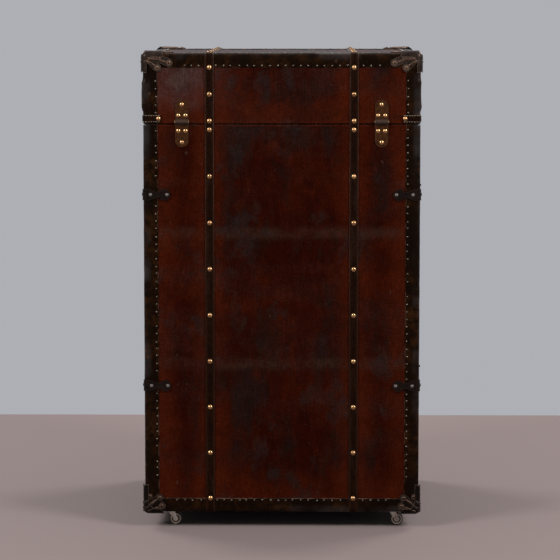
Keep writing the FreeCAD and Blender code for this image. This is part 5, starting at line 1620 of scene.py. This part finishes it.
def floor_finish(colour):
    """Plain pale floor, faintly uneven."""
    made, tree, shader, where = material("pale_floor")
    cloud = times(tree, noise(tree, where, 1.5, 2.0), 0.12)
    tone = blend(tree, cloud, colour, shaded(colour, 0.85))
    fill(tree, shader, {"Base Color": tone, "Roughness": 0.8, "Specular IOR Level": 0.2})
    return made


def add_lamp(name, size, place, aim, power):
    """A soft rectangular lamp that looks at a point."""
    data = bpy.data.lights.new(name, "AREA")
    data.shape = "RECTANGLE"
    data.size, data.size_y = size
    data.energy = power
    lamp = bpy.data.objects.new(name, data)
    bpy.context.scene.collection.objects.link(lamp)
    lamp.location = place
    lamp.rotation_euler = (Vector(aim) - Vector(place)).to_track_quat("-Z", "Y").to_euler()


AIM = (0, 0, 0.5)
LAMPS = (
    ("left_box", (1.2, 1.5), (-2.7, -2.4, 2.8), AIM, 104),
    ("right_box", (1.2, 1.5), (2.7, -2.4, 2.8), AIM, 118),
    ("far_left_box", (1.6, 1.6), (-2.6, 2.2, 3.1), AIM, 90),
    ("far_right_box", (1.6, 1.6), (2.6, 2.2, 3.1), AIM, 90),
    ("overhead", (4.0, 4.0), (0, 0, 3.4), (0, 0, 0.4), 16),
)


def lay_floor(settings):
    """A flat floor that reaches half as far along +Y as it does elsewhere."""
    floor = bpy.data.meshes.new("floor")
    reach = settings.reach
    wide = 2 * reach
    corners = [(-wide, -wide, 0), (wide, -wide, 0), (wide, reach, 0), (-wide, reach, 0)]
    floor.from_pydata(corners, [], [(0, 1, 2, 3)])
    floor.materials.append(floor_finish(tuple(settings.floor)))
    ground = bpy.data.objects.new("floor", floor)
    bpy.context.scene.collection.objects.link(ground)


def light_air(settings):
    """A dim, cool light from all round, with a pale background for what the camera, gloss and
    glass see."""
    scene = bpy.context.scene
    world = scene.world or bpy.data.worlds.new("pale_air")
    scene.world = world
    world.use_nodes = True
    tree = world.node_tree
    tree.nodes.clear()
    seen = add(tree, "LightPath").outputs
    mirrored = most(tree, seen["Is Glossy Ray"], seen["Is Transmission Ray"])
    shown = most(tree, seen["Is Camera Ray"], mirrored)
    colour = tuple(settings.air) + (1,)
    dim = add(tree, "Background", {"Color": (0.9, 0.95, 1.0, 1), "Strength": 0.30}).outputs[0]
    pale = add(tree, "Background", {"Color": colour, "Strength": 1.0}).outputs[0]
    mixed = add(tree, "MixShader", {0: shown, 1: dim, 2: pale}).outputs[0]
    add(tree, "OutputWorld", {"Surface": mixed})


def set_camera(settings):
    """A camera at the eye's place, turned and tilted towards the trunk."""
    scene = bpy.context.scene
    data = bpy.data.cameras.new("camera")
    data.lens = settings.lens
    data.sensor_width = 36.0
    camera = bpy.data.objects.new("camera", data)
    scene.collection.objects.link(camera)
    camera.location = settings.eye
    camera.rotation_euler = (math.pi / 2 - settings.tilt, 0.0, settings.turn)
    scene.camera = camera


class TRUNK_OT_stage(bpy.types.Operator):
    """Sets the floor, the lamps, the background and the camera"""

    bl_idname = "trunk.stage"
    bl_label = "Floor, light and camera"

    def execute(self, context):
        settings = context.scene.trunk_stage
        lay_floor(settings)
        for lamp in LAMPS:
            add_lamp(*lamp)
        light_air(settings)
        set_camera(settings)
        context.scene.view_settings.view_transform = "Standard"
        return {"FINISHED"}


# ---------------------------------------------------------------- the add-on


OPERATORS = (
    TRUNK_OT_leather,
    TRUNK_OT_binding,
    TRUNK_OT_straps,
    TRUNK_OT_linings,
    TRUNK_OT_grips,
    TRUNK_OT_fittings,
    TRUNK_OT_woodwork,
    TRUNK_OT_stage,
)


class TRUNK_PT_panel(bpy.types.Panel):
    """Lists the trunk's sizes and colours, and the pieces that can be made"""

    bl_idname = "TRUNK_PT_panel"
    bl_label = "Wardrobe Trunk"
    bl_space_type = "VIEW_3D"
    bl_region_type = "UI"
    bl_category = "Trunk"

    def draw(self, context):
        for name, group_class in SETTINGS.items():
            box = self.layout.box()
            for prop in group_class.__annotations__:
                box.prop(getattr(context.scene, name), prop)
        for operator in OPERATORS:
            self.layout.operator(operator.bl_idname)


CLASSES = tuple(SETTINGS.values()) + OPERATORS + (TRUNK_PT_panel,)


def register():
    for item in CLASSES:
        bpy.utils.register_class(item)
    for name, group_class in SETTINGS.items():
        setattr(bpy.types.Scene, name, PointerProperty(type=group_class))


def unregister():
    for name in SETTINGS:
        delattr(bpy.types.Scene, name)
    for item in reversed(CLASSES):
        bpy.utils.unregister_class(item)


def main():
    register()
    for operator in OPERATORS:
        category, name = operator.bl_idname.split(".")
        getattr(getattr(bpy.ops, category), name)()


if __name__ == "__main__":
    main()
